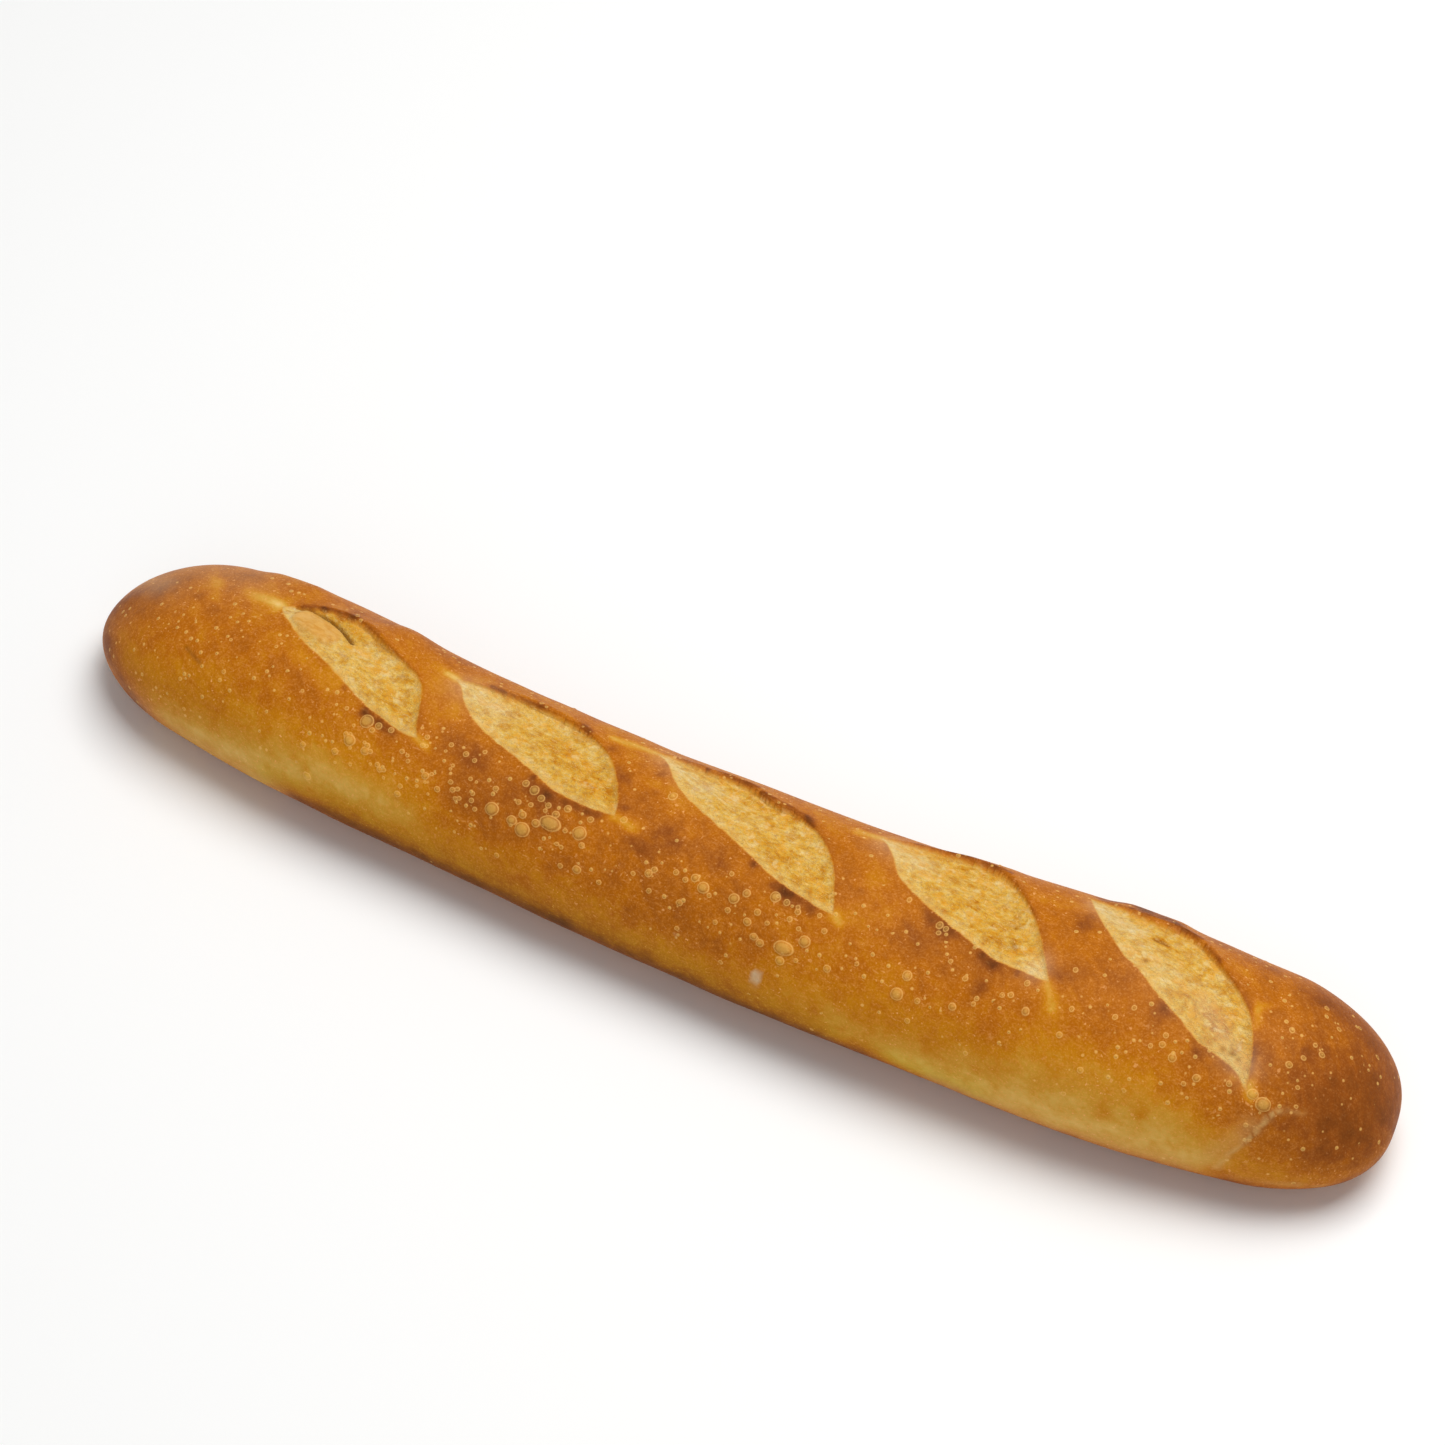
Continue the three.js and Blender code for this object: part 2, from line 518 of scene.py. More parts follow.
@dataclass(frozen=True)
class Blister:
    """A thin dome that steam raised in the crust."""

    station: float
    side: float
    radius: float
    stretch: float = 1.0  # how much longer it is along the loaf than over it
    height_per_radius: float = 0.4
    rounding: float = 0.6  # the lower, the flatter its top

    def distance(self, station: np.ndarray, side: np.ndarray) -> np.ndarray:
        """Measures the distance from its middle, as if it were round."""
        return np.hypot((station - self.station) / self.stretch, side - self.side)

    def dome(self, distance: np.ndarray) -> np.ndarray:
        """Gives the dome's height at each distance from its middle."""
        bulge = np.clip(1 - (distance / self.radius) ** 2, 0, 1) ** self.rounding
        return self.height_per_radius * self.radius * bulge


@dataclass(frozen=True)
class BlisterField:
    """A stretch of crust with scattered blisters."""

    station: float
    side: float
    spread: tuple[float, float]
    count: int
    radii: tuple[float, float]
    foam_reach: float = 1.9  # in spreads

    def foam(self, station: np.ndarray, side: np.ndarray) -> np.ndarray:
        """Says how densely the smallest blisters grew.

        Args:
            station: along the loaf.
            side: over the loaf.

        Returns:
            A share for each place.
        """
        away = np.hypot((station - self.station) / self.spread[0],
                        (side - self.side) / self.spread[1])
        return bell(away, self.foam_reach)


@dataclass(frozen=True)
class Pit:
    """A small hole: its mark, whose painted shade is as dark as its strength, and its depth."""

    mark: Stroke
    depth: float


@dataclass(frozen=True)
class Lump:
    """One gentle swell of the rolled dough: its waves along the loaf and around it."""

    height: float
    along: float
    around: int
    phase: float


@dataclass(frozen=True)
class Refinement:
    """Where the mesh gets cells of half the size."""

    cut_margin: float  # this far to either side of a slash's outline
    feature_margin: float  # and round a blister or a pit
    whole_crumb: bool  # and everywhere in a slash, if true


SLASHES = (
    Slash(
        near=((-157.5, 8.0), (-155.0, 5.0), (-150.0, 2.0), (-142.5, -1.5), (-132.5, -4.4),
              (-122.5, -7.5), (-112.5, -10.6), (-102.5, -12.4), (-96.0, -13.2), (-92.0, -12.6)),
        far=((-157.5, 8.0), (-153.5, 10.3), (-148.0, 12.9), (-141.5, 15.2), (-135.0, 15.0),
             (-128.5, 13.0), (-120.0, 9.4), (-110.0, 6.6), (-104.0, 4.6), (-99.5, 0.6),
             (-96.5, -4.5), (-94.0, -9.8), (-92.0, -12.6)),
        ear_lean=0.3,
    ),
    Slash(
        near=((-94.5, 10.9), (-91.0, 8.6), (-86.5, 4.2), (-81.0, 0.7), (-72.0, -2.2),
              (-62.0, -4.7), (-54.0, -6.8), (-46.0, -9.2), (-38.0, -9.9), (-30.0, -9.7),
              (-24.6, -9.1)),
        far=((-94.5, 10.9), (-89.0, 13.1), (-82.0, 15.0), (-74.0, 16.6), (-64.0, 16.8),
             (-55.0, 16.1), (-48.0, 14.4), (-42.0, 11.8), (-36.5, 8.0), (-31.0, 2.4),
             (-27.0, -2.8), (-25.2, -6.6), (-24.6, -9.1)),
    ),
    Slash(
        near=((-28.0, 20.6), (-23.5, 18.3), (-19.5, 14.4), (-15.0, 9.2), (-9.0, 5.2),
              (-1.0, 2.1), (9.0, -1.2), (19.0, -5.0), (29.0, -8.9), (38.0, -10.9),
              (44.5, -12.3), (49.8, -12.6)),
        far=((-28.0, 20.6), (-23.0, 21.9), (-15.0, 21.9), (-8.0, 21.2), (0.0, 21.6),
             (7.0, 20.4), (14.0, 17.4), (23.0, 15.6), (29.0, 13.2), (35.0, 9.0), (40.0, 4.0),
             (44.5, -1.4), (47.3, -7.0), (49.8, -12.6)),
    ),
    Slash(
        near=((49.5, 19.5), (53.0, 16.2), (57.5, 10.6), (61.5, 5.3), (67.0, 2.0),
              (75.0, -1.2), (85.0, -4.8), (94.0, -7.9), (101.0, -9.7), (109.0, -10.3),
              (117.0, -10.8)),
        far=((49.5, 19.5), (57.0, 21.0), (65.0, 22.7), (74.0, 23.4), (82.0, 22.7),
             (88.4, 20.9), (93.6, 17.3), (98.7, 12.7), (103.7, 7.3), (108.6, 1.3),
             (112.8, -4.4), (117.0, -10.8)),
        ear_lean=0.2,
    ),
    Slash(
        near=((115.3, 25.0), (118.0, 19.8), (122.0, 13.8), (127.0, 8.5), (133.0, 3.2),
              (140.0, -0.3), (147.5, -4.8), (155.0, -8.6), (162.5, -13.0), (169.0, -14.9),
              (174.5, -17.3), (179.0, -22.0)),
        far=((115.3, 25.0), (122.0, 25.2), (130.0, 23.4), (138.0, 22.1), (145.0, 21.4),
             (150.5, 19.0), (156.0, 14.6), (162.5, 9.0), (168.5, 4.2), (173.5, -0.8),
             (176.5, -7.4), (178.0, -14.0), (179.0, -22.0)),
        ear_lean=0.3,
    ),
)

LUMPS = (Lump(0.45, 5.3, 2, 0.6), Lump(0.35, 9.1, 3, 2.1), Lump(0.22, 15.7, 4, 4.4))

# How brown the crust is, from under the near side over the top to under the far side. The rise
# just under the near side is partly browner crust and partly painted shade where it turns under.
TOAST_SIDES = (-95.0, -72.0, -62.0, -57.0, -50.0, -42.0, -34.0, -24.0, -12.0, 5.0, 25.0, 45.0,
               70.0, 95.0)
TOAST_AND_SHADING_LEVELS = (0.5, 0.62, 0.76, 0.62, 0.46, 0.46, 0.51, 0.56, 0.62, 0.59, 0.58, 0.6, 0.55, 0.5)

# Large stretches that browned more, or less, and low on the flank painted shade and painted light.
BROWNING_AND_SHADING = (
    Stroke((212.0, 18.0), (212.0, -44.0), 13.0, 0.15),
    spot(204.0, 10.0, 11.0, -0.08),
    spot(206.1, -14.0, 6.0, -0.08),
    spot(194.5, 0.0, 6.0, -0.04),
    spot(-203.0, -3.0, 9.0, 0.07),
    Stroke((206.0, 12.0), (203.0, -38.0), 18.0, 0.14),
    Stroke((190.0, 20.0), (184.0, -34.0), 12.0, 0.09),
    spot(200.0, -54.0, 9.0, -0.12),
    Stroke((-215.0, -4.0), (-212.0, -50.0), 7.0, 0.12),
    Stroke((-206.0, -38.0), (-190.0, -56.0), 8.0, 0.26),
    Stroke((-80.0, -9.0), (-62.0, -18.0), 10.0, 0.08),
    Stroke((-56.0, -46.0), (26.0, -47.0), 9.0, 0.045),
    # Painted shade: a darker band along the lower contour of the middle, where the crust turns
    # under.
    Stroke((-124.0, -56.0), (-35.0, -56.0), 5.5, 0.24),
    Stroke((-30.0, -56.0), (66.0, -57.5), 6.0, 0.2),
    Stroke((-5.0, -18.0), (34.0, -28.0), 9.0, 0.05),
    Stroke((-64.0, -29.0), (8.0, -31.0), 9.0, 0.1),
    spot(46.0, 9.0, 6.0, 0.06),
    # These three: paler crust low on the flank, and painted light from the table below it.
    Stroke((-172.0, -50.0), (-126.0, -47.0), 8.0, -0.12),
    Stroke((-184.0, -62.0), (-142.0, -58.0), 9.0, -0.2),
    Stroke((-186.0, -68.0), (-138.0, -64.0), 6.0, -0.2),
    Stroke((-122.0, -39.0), (-84.0, -37.0), 7.0, -0.12),
    # These two likewise: paler crust low on the flank, with painted light from the table below it.
    Stroke((85.0, -51.0), (168.0, -48.0), 10.0, -0.17),
    Stroke((82.0, -57.0), (165.0, -57.0), 8.0, -0.11),
    spot(62.0, -48.0, 9.0, -0.08),
    Stroke((120.0, -34.0), (156.0, -34.0), 10.0, -0.1),
    Stroke((-150.0, -30.0), (-100.0, -32.0), 9.0, -0.08),
    Stroke((-206.0, -30.0), (-178.0, -30.0), 11.0, -0.03),
    Stroke((-208.0, 4.0), (-188.0, 10.0), 9.0, 0.04),
    spot(20.0, -37.0, 8.0, 0.045),
    spot(161.0, -26.0, 10.0, 0.04),
    Stroke((-120.0, 0.0), (-88.0, -4.0), 10.0, -0.05),
    Stroke((190.0, 5.0), (205.0, -5.0), 10.0, -0.05),
    Stroke((75.0, -11.0), (112.0, -15.0), 8.0, 0.06),
    Stroke((76.0, 16.0), (84.0, 4.0), 7.0, 0.03),
    Stroke((-176.0, 21.0), (-176.0, 9.0), 5.0, 0.08),
    Stroke((-146.0, 23.0), (-128.0, 23.0), 4.0, 0.08),
    Stroke((-114.0, 22.0), (-100.0, 22.0), 5.0, 0.09),
    spot(-197.0, 6.0, 7.0, 0.08),
    spot(-159.0, 2.0, 5.5, -0.07),
    Stroke((-122.0, -10.0), (-112.0, -18.0), 5.0, -0.06),
    Stroke((-144.0, -41.0), (-108.0, -40.0), 6.0, -0.06),
    spot(-73.0, -24.0, 5.0, 0.08),
    Stroke((-52.0, -15.0), (-38.0, -18.0), 5.0, 0.06),
    spot(-24.0, -1.5, 3.5, 0.07),
    Stroke((-18.0, -6.0), (-11.0, -20.0), 5.0, 0.07),
    spot(-46.0, -44.0, 6.0, 0.07),
    Stroke((2.0, -30.0), (30.0, -36.0), 5.0, 0.05),
    spot(32.0, -26.0, 3.0, 0.06),
    spot(55.0, 3.0, 4.5, -0.07),
    spot(108.5, -14.5, 4.5, -0.1),
    spot(104.0, -26.0, 4.5, 0.08),
    Stroke((126.0, -3.0), (136.0, -4.0), 4.0, 0.08),
    spot(118.0, 13.5, 3.0, 0.09),
    Stroke((158.0, 24.0), (174.0, 20.0), 4.5, 0.11),
    Stroke((184.0, -6.0), (185.0, -16.0), 4.5, -0.08),
    Stroke((202.0, -24.0), (204.0, -36.0), 5.0, 0.08),
)

# Small scorched and blistered places, mostly along the near rims of the slashes.
TOASTED_MARKS = (
    Stroke((-111.0, -12.8), (-100.0, -14.6), 1.7, 0.2),
    spot(-110.5, -12.4, 1.3, 0.14),
    spot(-120.5, -9.3, 1.0, 0.14),
    spot(-116.0, -19.5, 6.0, 0.04),
    Stroke((-80.0, -8.0), (-72.0, -12.5), 4.0, 0.07),
    Stroke((-53.0, -11.0), (-44.0, -11.8), 3.0, 0.17),
    spot(-46.5, -11.3, 1.3, 0.14),
    Stroke((-40.0, -11.4), (-29.0, -11.1), 1.6, 0.18),
    spot(-53.2, -7.9, 1.0, 0.2),
    spot(-38.5, 12.0, 1.8, 0.19),
    Stroke((-32.0, 5.5), (-28.0, 3.0), 2.2, 0.12),
    spot(-20.2, 9.6, 2.0, 0.12),
    spot(-18.0, 2.6, 1.4, 0.1),
    Stroke((-16.0, -14.0), (-12.0, -16.0), 2.4, 0.1),
    Stroke((-8.0, -7.5), (-4.0, -9.0), 3.4, 0.14),
    spot(-23.0, -5.5, 1.2, 0.14),
    spot(10.0, -6.4, 3.0, 0.08),
    spot(12.0, -11.0, 3.0, 0.08),
    spot(21.3, -7.0, 1.6, 0.22),
    Stroke((30.0, -10.4), (35.0, -11.8), 1.8, 0.16),
    Stroke((34.0, -12.4), (43.0, -13.8), 2.4, 0.15),
    spot(24.0, -14.5, 4.0, 0.06),
    Stroke((76.0, -3.4), (84.0, -6.0), 2.6, 0.13),
    spot(82.0, -6.0, 2.6, 0.12),
    Stroke((95.5, -9.6), (100.0, -11.0), 1.7, 0.21),
    spot(107.3, -11.2, 1.2, 0.2),
    spot(98.6, -18.5, 2.2, 0.2),
    spot(97.0, -23.5, 1.3, 0.1),
    spot(118.5, 9.0, 2.6, 0.18),
    spot(119.0, -7.0, 3.0, 0.08),
    Stroke((122.0, 14.0), (133.0, 2.0), 2.4, 0.08),
    spot(150.3, -8.4, 2.4, 0.18),
    spot(162.8, -15.2, 2.8, 0.18),
    spot(145.0, -8.0, 3.0, -0.05),
    spot(152.9, -38.9, 2.4, 0.12),
    spot(143.8, -43.5, 3.2, 0.12),
    spot(91.0, -40.0, 4.0, 0.08),
    spot(-7.7, -40.0, 4.0, 0.06),
    spot(-121.0, -40.0, 2.4, 0.14),
    spot(-126.0, -38.0, 1.6, 0.1),
    spot(-155.0, -28.5, 0.8, 0.2),
    spot(-157.0, -2.0, 3.5, 0.08),
    spot(-184.0, 0.5, 1.8, 0.1),
    spot(191.0, 16.0, 1.8, 0.14),
    spot(192.0, -4.0, 1.6, 0.1),
)

# Thin charred lips and torn places, on the crust and the crumb alike.
TORN_MARKS = (
    Stroke((117.0, 29.5), (132.0, 28.5), 1.4, 0.24),
    Stroke((131.0, 28.0), (144.0, 25.0), 2.0, 0.28),
    Stroke((64.0, 12.0), (104.0, -3.0), 9.0, 0.045),
    Stroke((-152.0, 11.3), (-146.0, 13.6), 1.1, 0.14),
    Stroke((-146.0, 14.0), (-135.0, 16.0), 1.3, 0.22),
    Stroke((-132.0, 14.8), (-124.0, 11.8), 0.9, 0.1),
    Stroke((-84.0, 15.2), (-64.0, 17.4), 0.7, 0.2),
    Stroke((-50.5, 16.9), (-48.0, 15.2), 1.3, 0.2),
    spot(-9.6, 21.6, 1.1, 0.28),
    Stroke((-21.0, 22.8), (-12.0, 22.8), 0.8, 0.1),
    Stroke((-6.0, 22.8), (8.0, 21.6), 0.9, 0.2),
    Stroke((10.0, 19.6), (26.0, 16.2), 0.8, 0.2),
    Stroke((27.0, 15.6), (30.0, 12.8), 1.3, 0.25),
    Stroke((60.0, 23.6), (76.0, 25.2), 1.0, 0.2),
    Stroke((76.0, 25.2), (90.6, 22.0), 1.2, 0.22),
    Stroke((92.6, 19.2), (98.8, 13.6), 0.5, 0.08),
    Stroke((118.0, 26.4), (128.0, 25.0), 0.8, 0.16),
    Stroke((128.0, 25.4), (142.0, 23.4), 0.7, 0.2),
    Stroke((142.0, 23.6), (152.0, 19.8), 0.8, 0.2),
    Stroke((154.0, 17.0), (160.0, 11.8), 0.7, 0.12),
    Stroke((66.0, 21.0), (86.0, 20.0), 1.8, 0.06),
    Stroke((130.0, 22.5), (146.0, 20.5), 1.6, 0.06),
    Stroke((-18.0, 20.4), (24.0, 14.6), 1.4, 0.1),
    Stroke((-140.0, 13.2), (-129.0, 10.5), 2.6, 0.1),
    Stroke((-54.0, 3.5), (-30.0, -3.0), 5.0, 0.13),
    Stroke((-66.0, 5.0), (-58.0, 8.0), 4.0, 0.04),
    Stroke((92.0, -0.5), (107.0, -4.5), 4.5, 0.07),
    Stroke((24.0, 1.0), (40.0, -6.0), 5.0, 0.1),
    Stroke((156.0, -2.0), (176.0, -13.0), 5.0, 0.13),
    spot(167.5, -1.0, 4.0, 0.1),
    Stroke((140.0, 17.0), (147.0, 11.5), 1.8, 0.12),
    Stroke((-107.0, -6.0), (-98.0, -7.5), 4.0, 0.1),
    spot(18.5, 9.2, 1.1, 0.22),
    spot(100.4, 2.4, 0.8, 0.25),
    spot(103.0, -3.0, 1.4, 0.12),
    spot(139.8, 3.6, 0.8, 0.25),
    Stroke((138.5, 15.6), (143.0, 14.6), 1.2, 0.26),
    Stroke((70.0, 15.0), (90.0, 12.0), 3.0, 0.04),
)

# Crumb that dried paler, where the slashes narrow.
DRIED_MARKS = (
    Stroke((-154.0, 7.0), (-148.0, 7.0), 4.0, -0.12),
    Stroke((-90.0, 10.0), (-78.0, 8.0), 6.0, -0.08),
    Stroke((-22.0, 18.5), (-8.0, 13.0), 6.0, -0.1),
    Stroke((53.0, 17.0), (66.0, 14.0), 6.0, -0.12),
    Stroke((120.0, 21.5), (134.0, 16.0), 5.0, -0.12),
    spot(112.0, -8.0, 4.0, -0.12),
    Stroke((-124.0, 0.0), (-120.0, 5.0), 4.0, -0.04),
)

# Stretched skin that stayed pale, most of it at the tips of the slashes.
PALE_MARKS = (
    Stroke((-171.0, 9.6), (-159.0, 8.2), 2.8, -0.16),
    Stroke((-165.0, 9.3), (-158.5, 8.6), 3.2, -0.14),
    Stroke((-161.0, 8.6), (-157.0, 8.0), 1.5, -0.15),
    spot(-158.0, 5.0, 1.6, -0.1),
    Stroke((-92.0, -12.6), (-88.5, -13.4), 1.5, -0.24),
    spot(-88.0, -13.0, 3.0, -0.08),
    Stroke((-102.0, 11.8), (-96.0, 11.2), 2.6, -0.14),
    Stroke((-97.5, 11.3), (-94.0, 10.8), 1.3, -0.3),
    Stroke((-24.5, -9.2), (-17.0, -10.6), 1.5, -0.24),
    spot(-18.0, -10.0, 3.0, -0.08),
    Stroke((-41.0, 17.8), (-27.5, 20.2), 1.9, -0.3),
    Stroke((49.8, -12.6), (52.5, -14.2), 1.4, -0.24),
    Stroke((52.0, -11.0), (56.0, -13.0), 2.6, -0.1),
    Stroke((43.0, 18.6), (50.0, 19.4), 1.9, -0.3),
    Stroke((116.0, -10.4), (120.8, -17.4), 1.1, -0.19),
    Stroke((121.5, -18.5), (118.0, -12.0), 2.8, -0.08),
    Stroke((178.8, -20.0), (180.6, -23.0), 1.8, -0.3),
    spot(174.5, -19.0, 1.6, -0.2),
    Stroke((179.5, -12.0), (180.0, -20.0), 1.6, -0.14),
    Stroke((174.5, 3.0), (176.0, -3.0), 1.6, -0.16),
    Stroke((174.5, 1.0), (178.0, 5.0), 1.1, -0.12),
    Stroke((-183.5, 9.5), (-178.7, 2.0), 2.4, -0.12),
    Stroke((-186.5, 12.0), (-181.5, 8.0), 2.0, -0.1),
    Stroke((-178.0, 12.0), (-166.0, 17.0), 2.0, -0.06),
    Stroke((-152.0, -3.5), (-124.0, -10.5), 2.6, -0.08),
    Stroke((-90.0, 3.0), (-84.0, -2.5), 2.0, -0.06),
    Stroke((-14.0, 5.5), (-9.0, 2.5), 2.0, -0.06),
)

# The fold in the dough near the +X end, its branch over the top, and the one under it.
SEAMS = (
    Stroke((189.6, -24.0), (187.7, -25.5), 0.8, 0.45),
    Stroke((187.7, -25.5), (183.4, -35.3), 0.7, 0.55),
    Stroke((183.4, -35.3), (179.0, -43.4), 0.8, 0.52),
    Stroke((179.0, -43.4), (176.0, -52.4), 1.0, 0.4),
    Stroke((189.6, -24.0), (196.0, -22.4), 0.8, 0.18),
    Stroke((182.5, -31.5), (172.5, -50.0), 3.0, 0.22),
    Stroke((180.0, -56.0), (199.0, -55.0), 1.0, 0.3),
    Stroke((199.0, -55.0), (208.0, -59.0), 0.9, 0.3),
)

# Flour from the bench: two spots of it, and a thin veil over the end that was held.
FLOURED = (
    Stroke((-188.0, -54.0), (-134.0, -58.0), 7.0, 0.09),
    Stroke((94.0, -58.0), (166.0, -57.0), 6.0, 0.1),
    Stroke((33.9, -39.4), (34.1, -43.0), 0.9, 1.0),
    spot(6.8, -38.2, 0.6, 0.6),
    Stroke((-204.0, 16.0), (-176.0, 18.0), 13.0, 0.1),
    Stroke((-209.0, 12.0), (-202.0, 5.0), 8.0, 0.18),
    Stroke((-202.0, 5.0), (-194.0, 2.0), 9.0, 0.06),
    Stroke((-90.0, 10.0), (-78.0, 9.0), 6.0, 0.15),
    Stroke((-22.0, 18.5), (-8.0, 13.0), 6.0, 0.13),
    Stroke((53.0, 17.0), (64.0, 14.0), 6.0, 0.15),
    spot(112.0, -7.5, 4.0, 0.22),
    Stroke((119.0, 21.0), (130.0, 15.0), 4.5, 0.18),
    Stroke((138.0, 6.0), (160.0, -4.0), 5.0, 0.1),
    Stroke((160.0, -2.0), (176.0, -15.0), 4.5, 0.2),
)

# Painted shade low on the middle of the flank, where it turns under: darker and yellower skin.
FLANK_SHADE_MARKS = (
    Stroke((-134.0, -53.0), (-100.0, -52.5), 6.0, 0.7),
    Stroke((-112.0, -52.5), (58.0, -54.0), 7.0, 1.0),
    Stroke((58.0, -54.0), (104.0, -54.0), 6.0, 0.6),
)

# The slit that runs in along the first slash's far edge, and the flap of skin before it.
SLIT_PARTS = (
    Stroke((-153.5, 10.2), (-149.5, 11.5), 0.4, 0.5),
    Stroke((-149.5, 11.5), (-145.0, 11.9), 0.5, 0.8),
    Stroke((-145.0, 11.9), (-140.5, 11.4), 0.6),
    Stroke((-140.5, 11.4), (-136.5, 10.0), 0.7),
    Stroke((-136.5, 10.0), (-133.0, 8.0), 0.7),
    Stroke((-133.0, 8.0), (-129.8, 6.2), 0.6, 0.9),
)
FLAP = Stroke((-147.5, 6.8), (-137.5, 4.2), 5.4)

# Pits in the crumb, and the long dent in the left end's crust.
PITS = (
    Pit(Stroke((139.6, 15.2), (142.6, 14.8), 1.1, 0.45), 0.9),
    Pit(spot(139.9, 3.6, 0.8, 0.45), 0.7),
    Pit(spot(129.5, 21.0, 0.6, 0.4), 0.5),
    Pit(spot(172.3, -12.6, 1.2, 0.5), 0.6),
    Pit(spot(169.3, -12.4, 0.9, 0.45), 0.5),
    Pit(spot(174.3, -13.6, 0.9, 0.45), 0.5),
    Pit(spot(100.3, 2.4, 0.6, 0.5), 0.6),
    Pit(Stroke((101.5, -2.6), (103.5, -4.2), 0.8, 0.35), 0.5),
    Pit(spot(18.4, 9.3, 0.7, 0.4), 0.5),
    Pit(spot(-49.8, -2.8, 0.6, 0.4), 0.5),
    Pit(Stroke((-175.5, -19.0), (-168.5, -21.8), 0.8, 0.4), 0.5),
)

# The crust's own slow swells, where it puffed or sagged: place, reach and height.
SWELLS = (
    Stroke((128.0, 30.5), (142.0, 28.5), 6.0, 1.2),
    Stroke((76.0, 29.0), (88.0, 27.0), 5.0, 0.5),
    Stroke((-168.0, 24.0), (-158.0, 24.0), 8.0, 1.7),
    spot(-119.0, 22.0, 9.0, 1.7),
    spot(-209.0, -4.0, 5.0, 0.5),
)

# Station, side and radius of each large blister, and how much it is drawn out.
LARGE_BLISTERS = (
    Blister(-110.7, -22.9, 1.8), Blister(-108.6, -15.0, 2.0), Blister(-104.8, -23.8, 1.3),
    Blister(-60.2, -22.9, 2.1), Blister(-48.7, -25.0, 2.3), Blister(-52.9, -23.6, 1.5),
    Blister(-41.4, -19.4, 2.3, 1.45), Blister(-45.6, -21.2, 1.2), Blister(-31.8, -18.5, 2.1),
    Blister(-50.8, -11.8, 1.4), Blister(-28.1, -29.9, 1.3), Blister(-12.3, 3.5, 1.3),
    Blister(10.3, -19.2, 1.7), Blister(20.3, -18.8, 1.5), Blister(31.6, -13.8, 1.5),
    Blister(39.6, -27.7, 2.2, 1.35), Blister(44.9, -23.3, 1.7),
    Blister(77.4, -22.0, 1.4), Blister(76.4, -28.2, 1.8), Blister(180.9, -21.9, 1.5),
    Blister(184.4, -23.9, 2.1), Blister(-120.4, -42.1, 1.4), Blister(39.8, -32.0, 1.3),
    Blister(-104.6, -14.6, 1.0), Blister(-100.4, -14.0, 0.8), Blister(-47.6, -13.2, 1.0),
    Blister(-44.6, -14.4, 0.8), Blister(35.4, -14.2, 0.9), Blister(39.6, -15.6, 0.8),
)

# Where smaller ones crowd. The last four of these lie on the far flank.
BLISTER_FIELDS = (
    BlisterField(-104.0, -22.0, (12.0, 6.0), 24, (0.4, 1.1)),
    BlisterField(-80.0, -21.0, (11.0, 8.0), 30, (0.35, 0.85)),
    BlisterField(-45.0, -20.0, (15.0, 6.5), 26, (0.6, 1.3)),
    BlisterField(10.0, -20.0, (22.0, 8.0), 24, (0.6, 1.2)),
    BlisterField(34.0, -21.0, (12.0, 8.0), 20, (0.6, 1.2)),
    BlisterField(88.0, -19.0, (18.0, 8.0), 18, (0.6, 1.1)),
    BlisterField(150.0, -20.0, (20.0, 11.0), 18, (0.6, 1.1)),
    BlisterField(194.0, -12.0, (10.0, 20.0), 14, (0.5, 0.9)),
    BlisterField(-166.0, -16.0, (24.0, 14.0), 10, (0.4, 0.65)),
    BlisterField(0.0, 24.0, (130.0, 5.0), 8, (0.5, 0.9)),
    BlisterField(-95.0, 54.0, (30.0, 7.0), 16, (0.6, 1.4)),
    BlisterField(-20.0, 56.0, (34.0, 7.0), 20, (0.6, 1.6)),
    BlisterField(85.0, 54.0, (30.0, 7.0), 18, (0.6, 1.4)),
    BlisterField(150.0, 50.0, (20.0, 6.0), 12, (0.5, 1.1)),
)


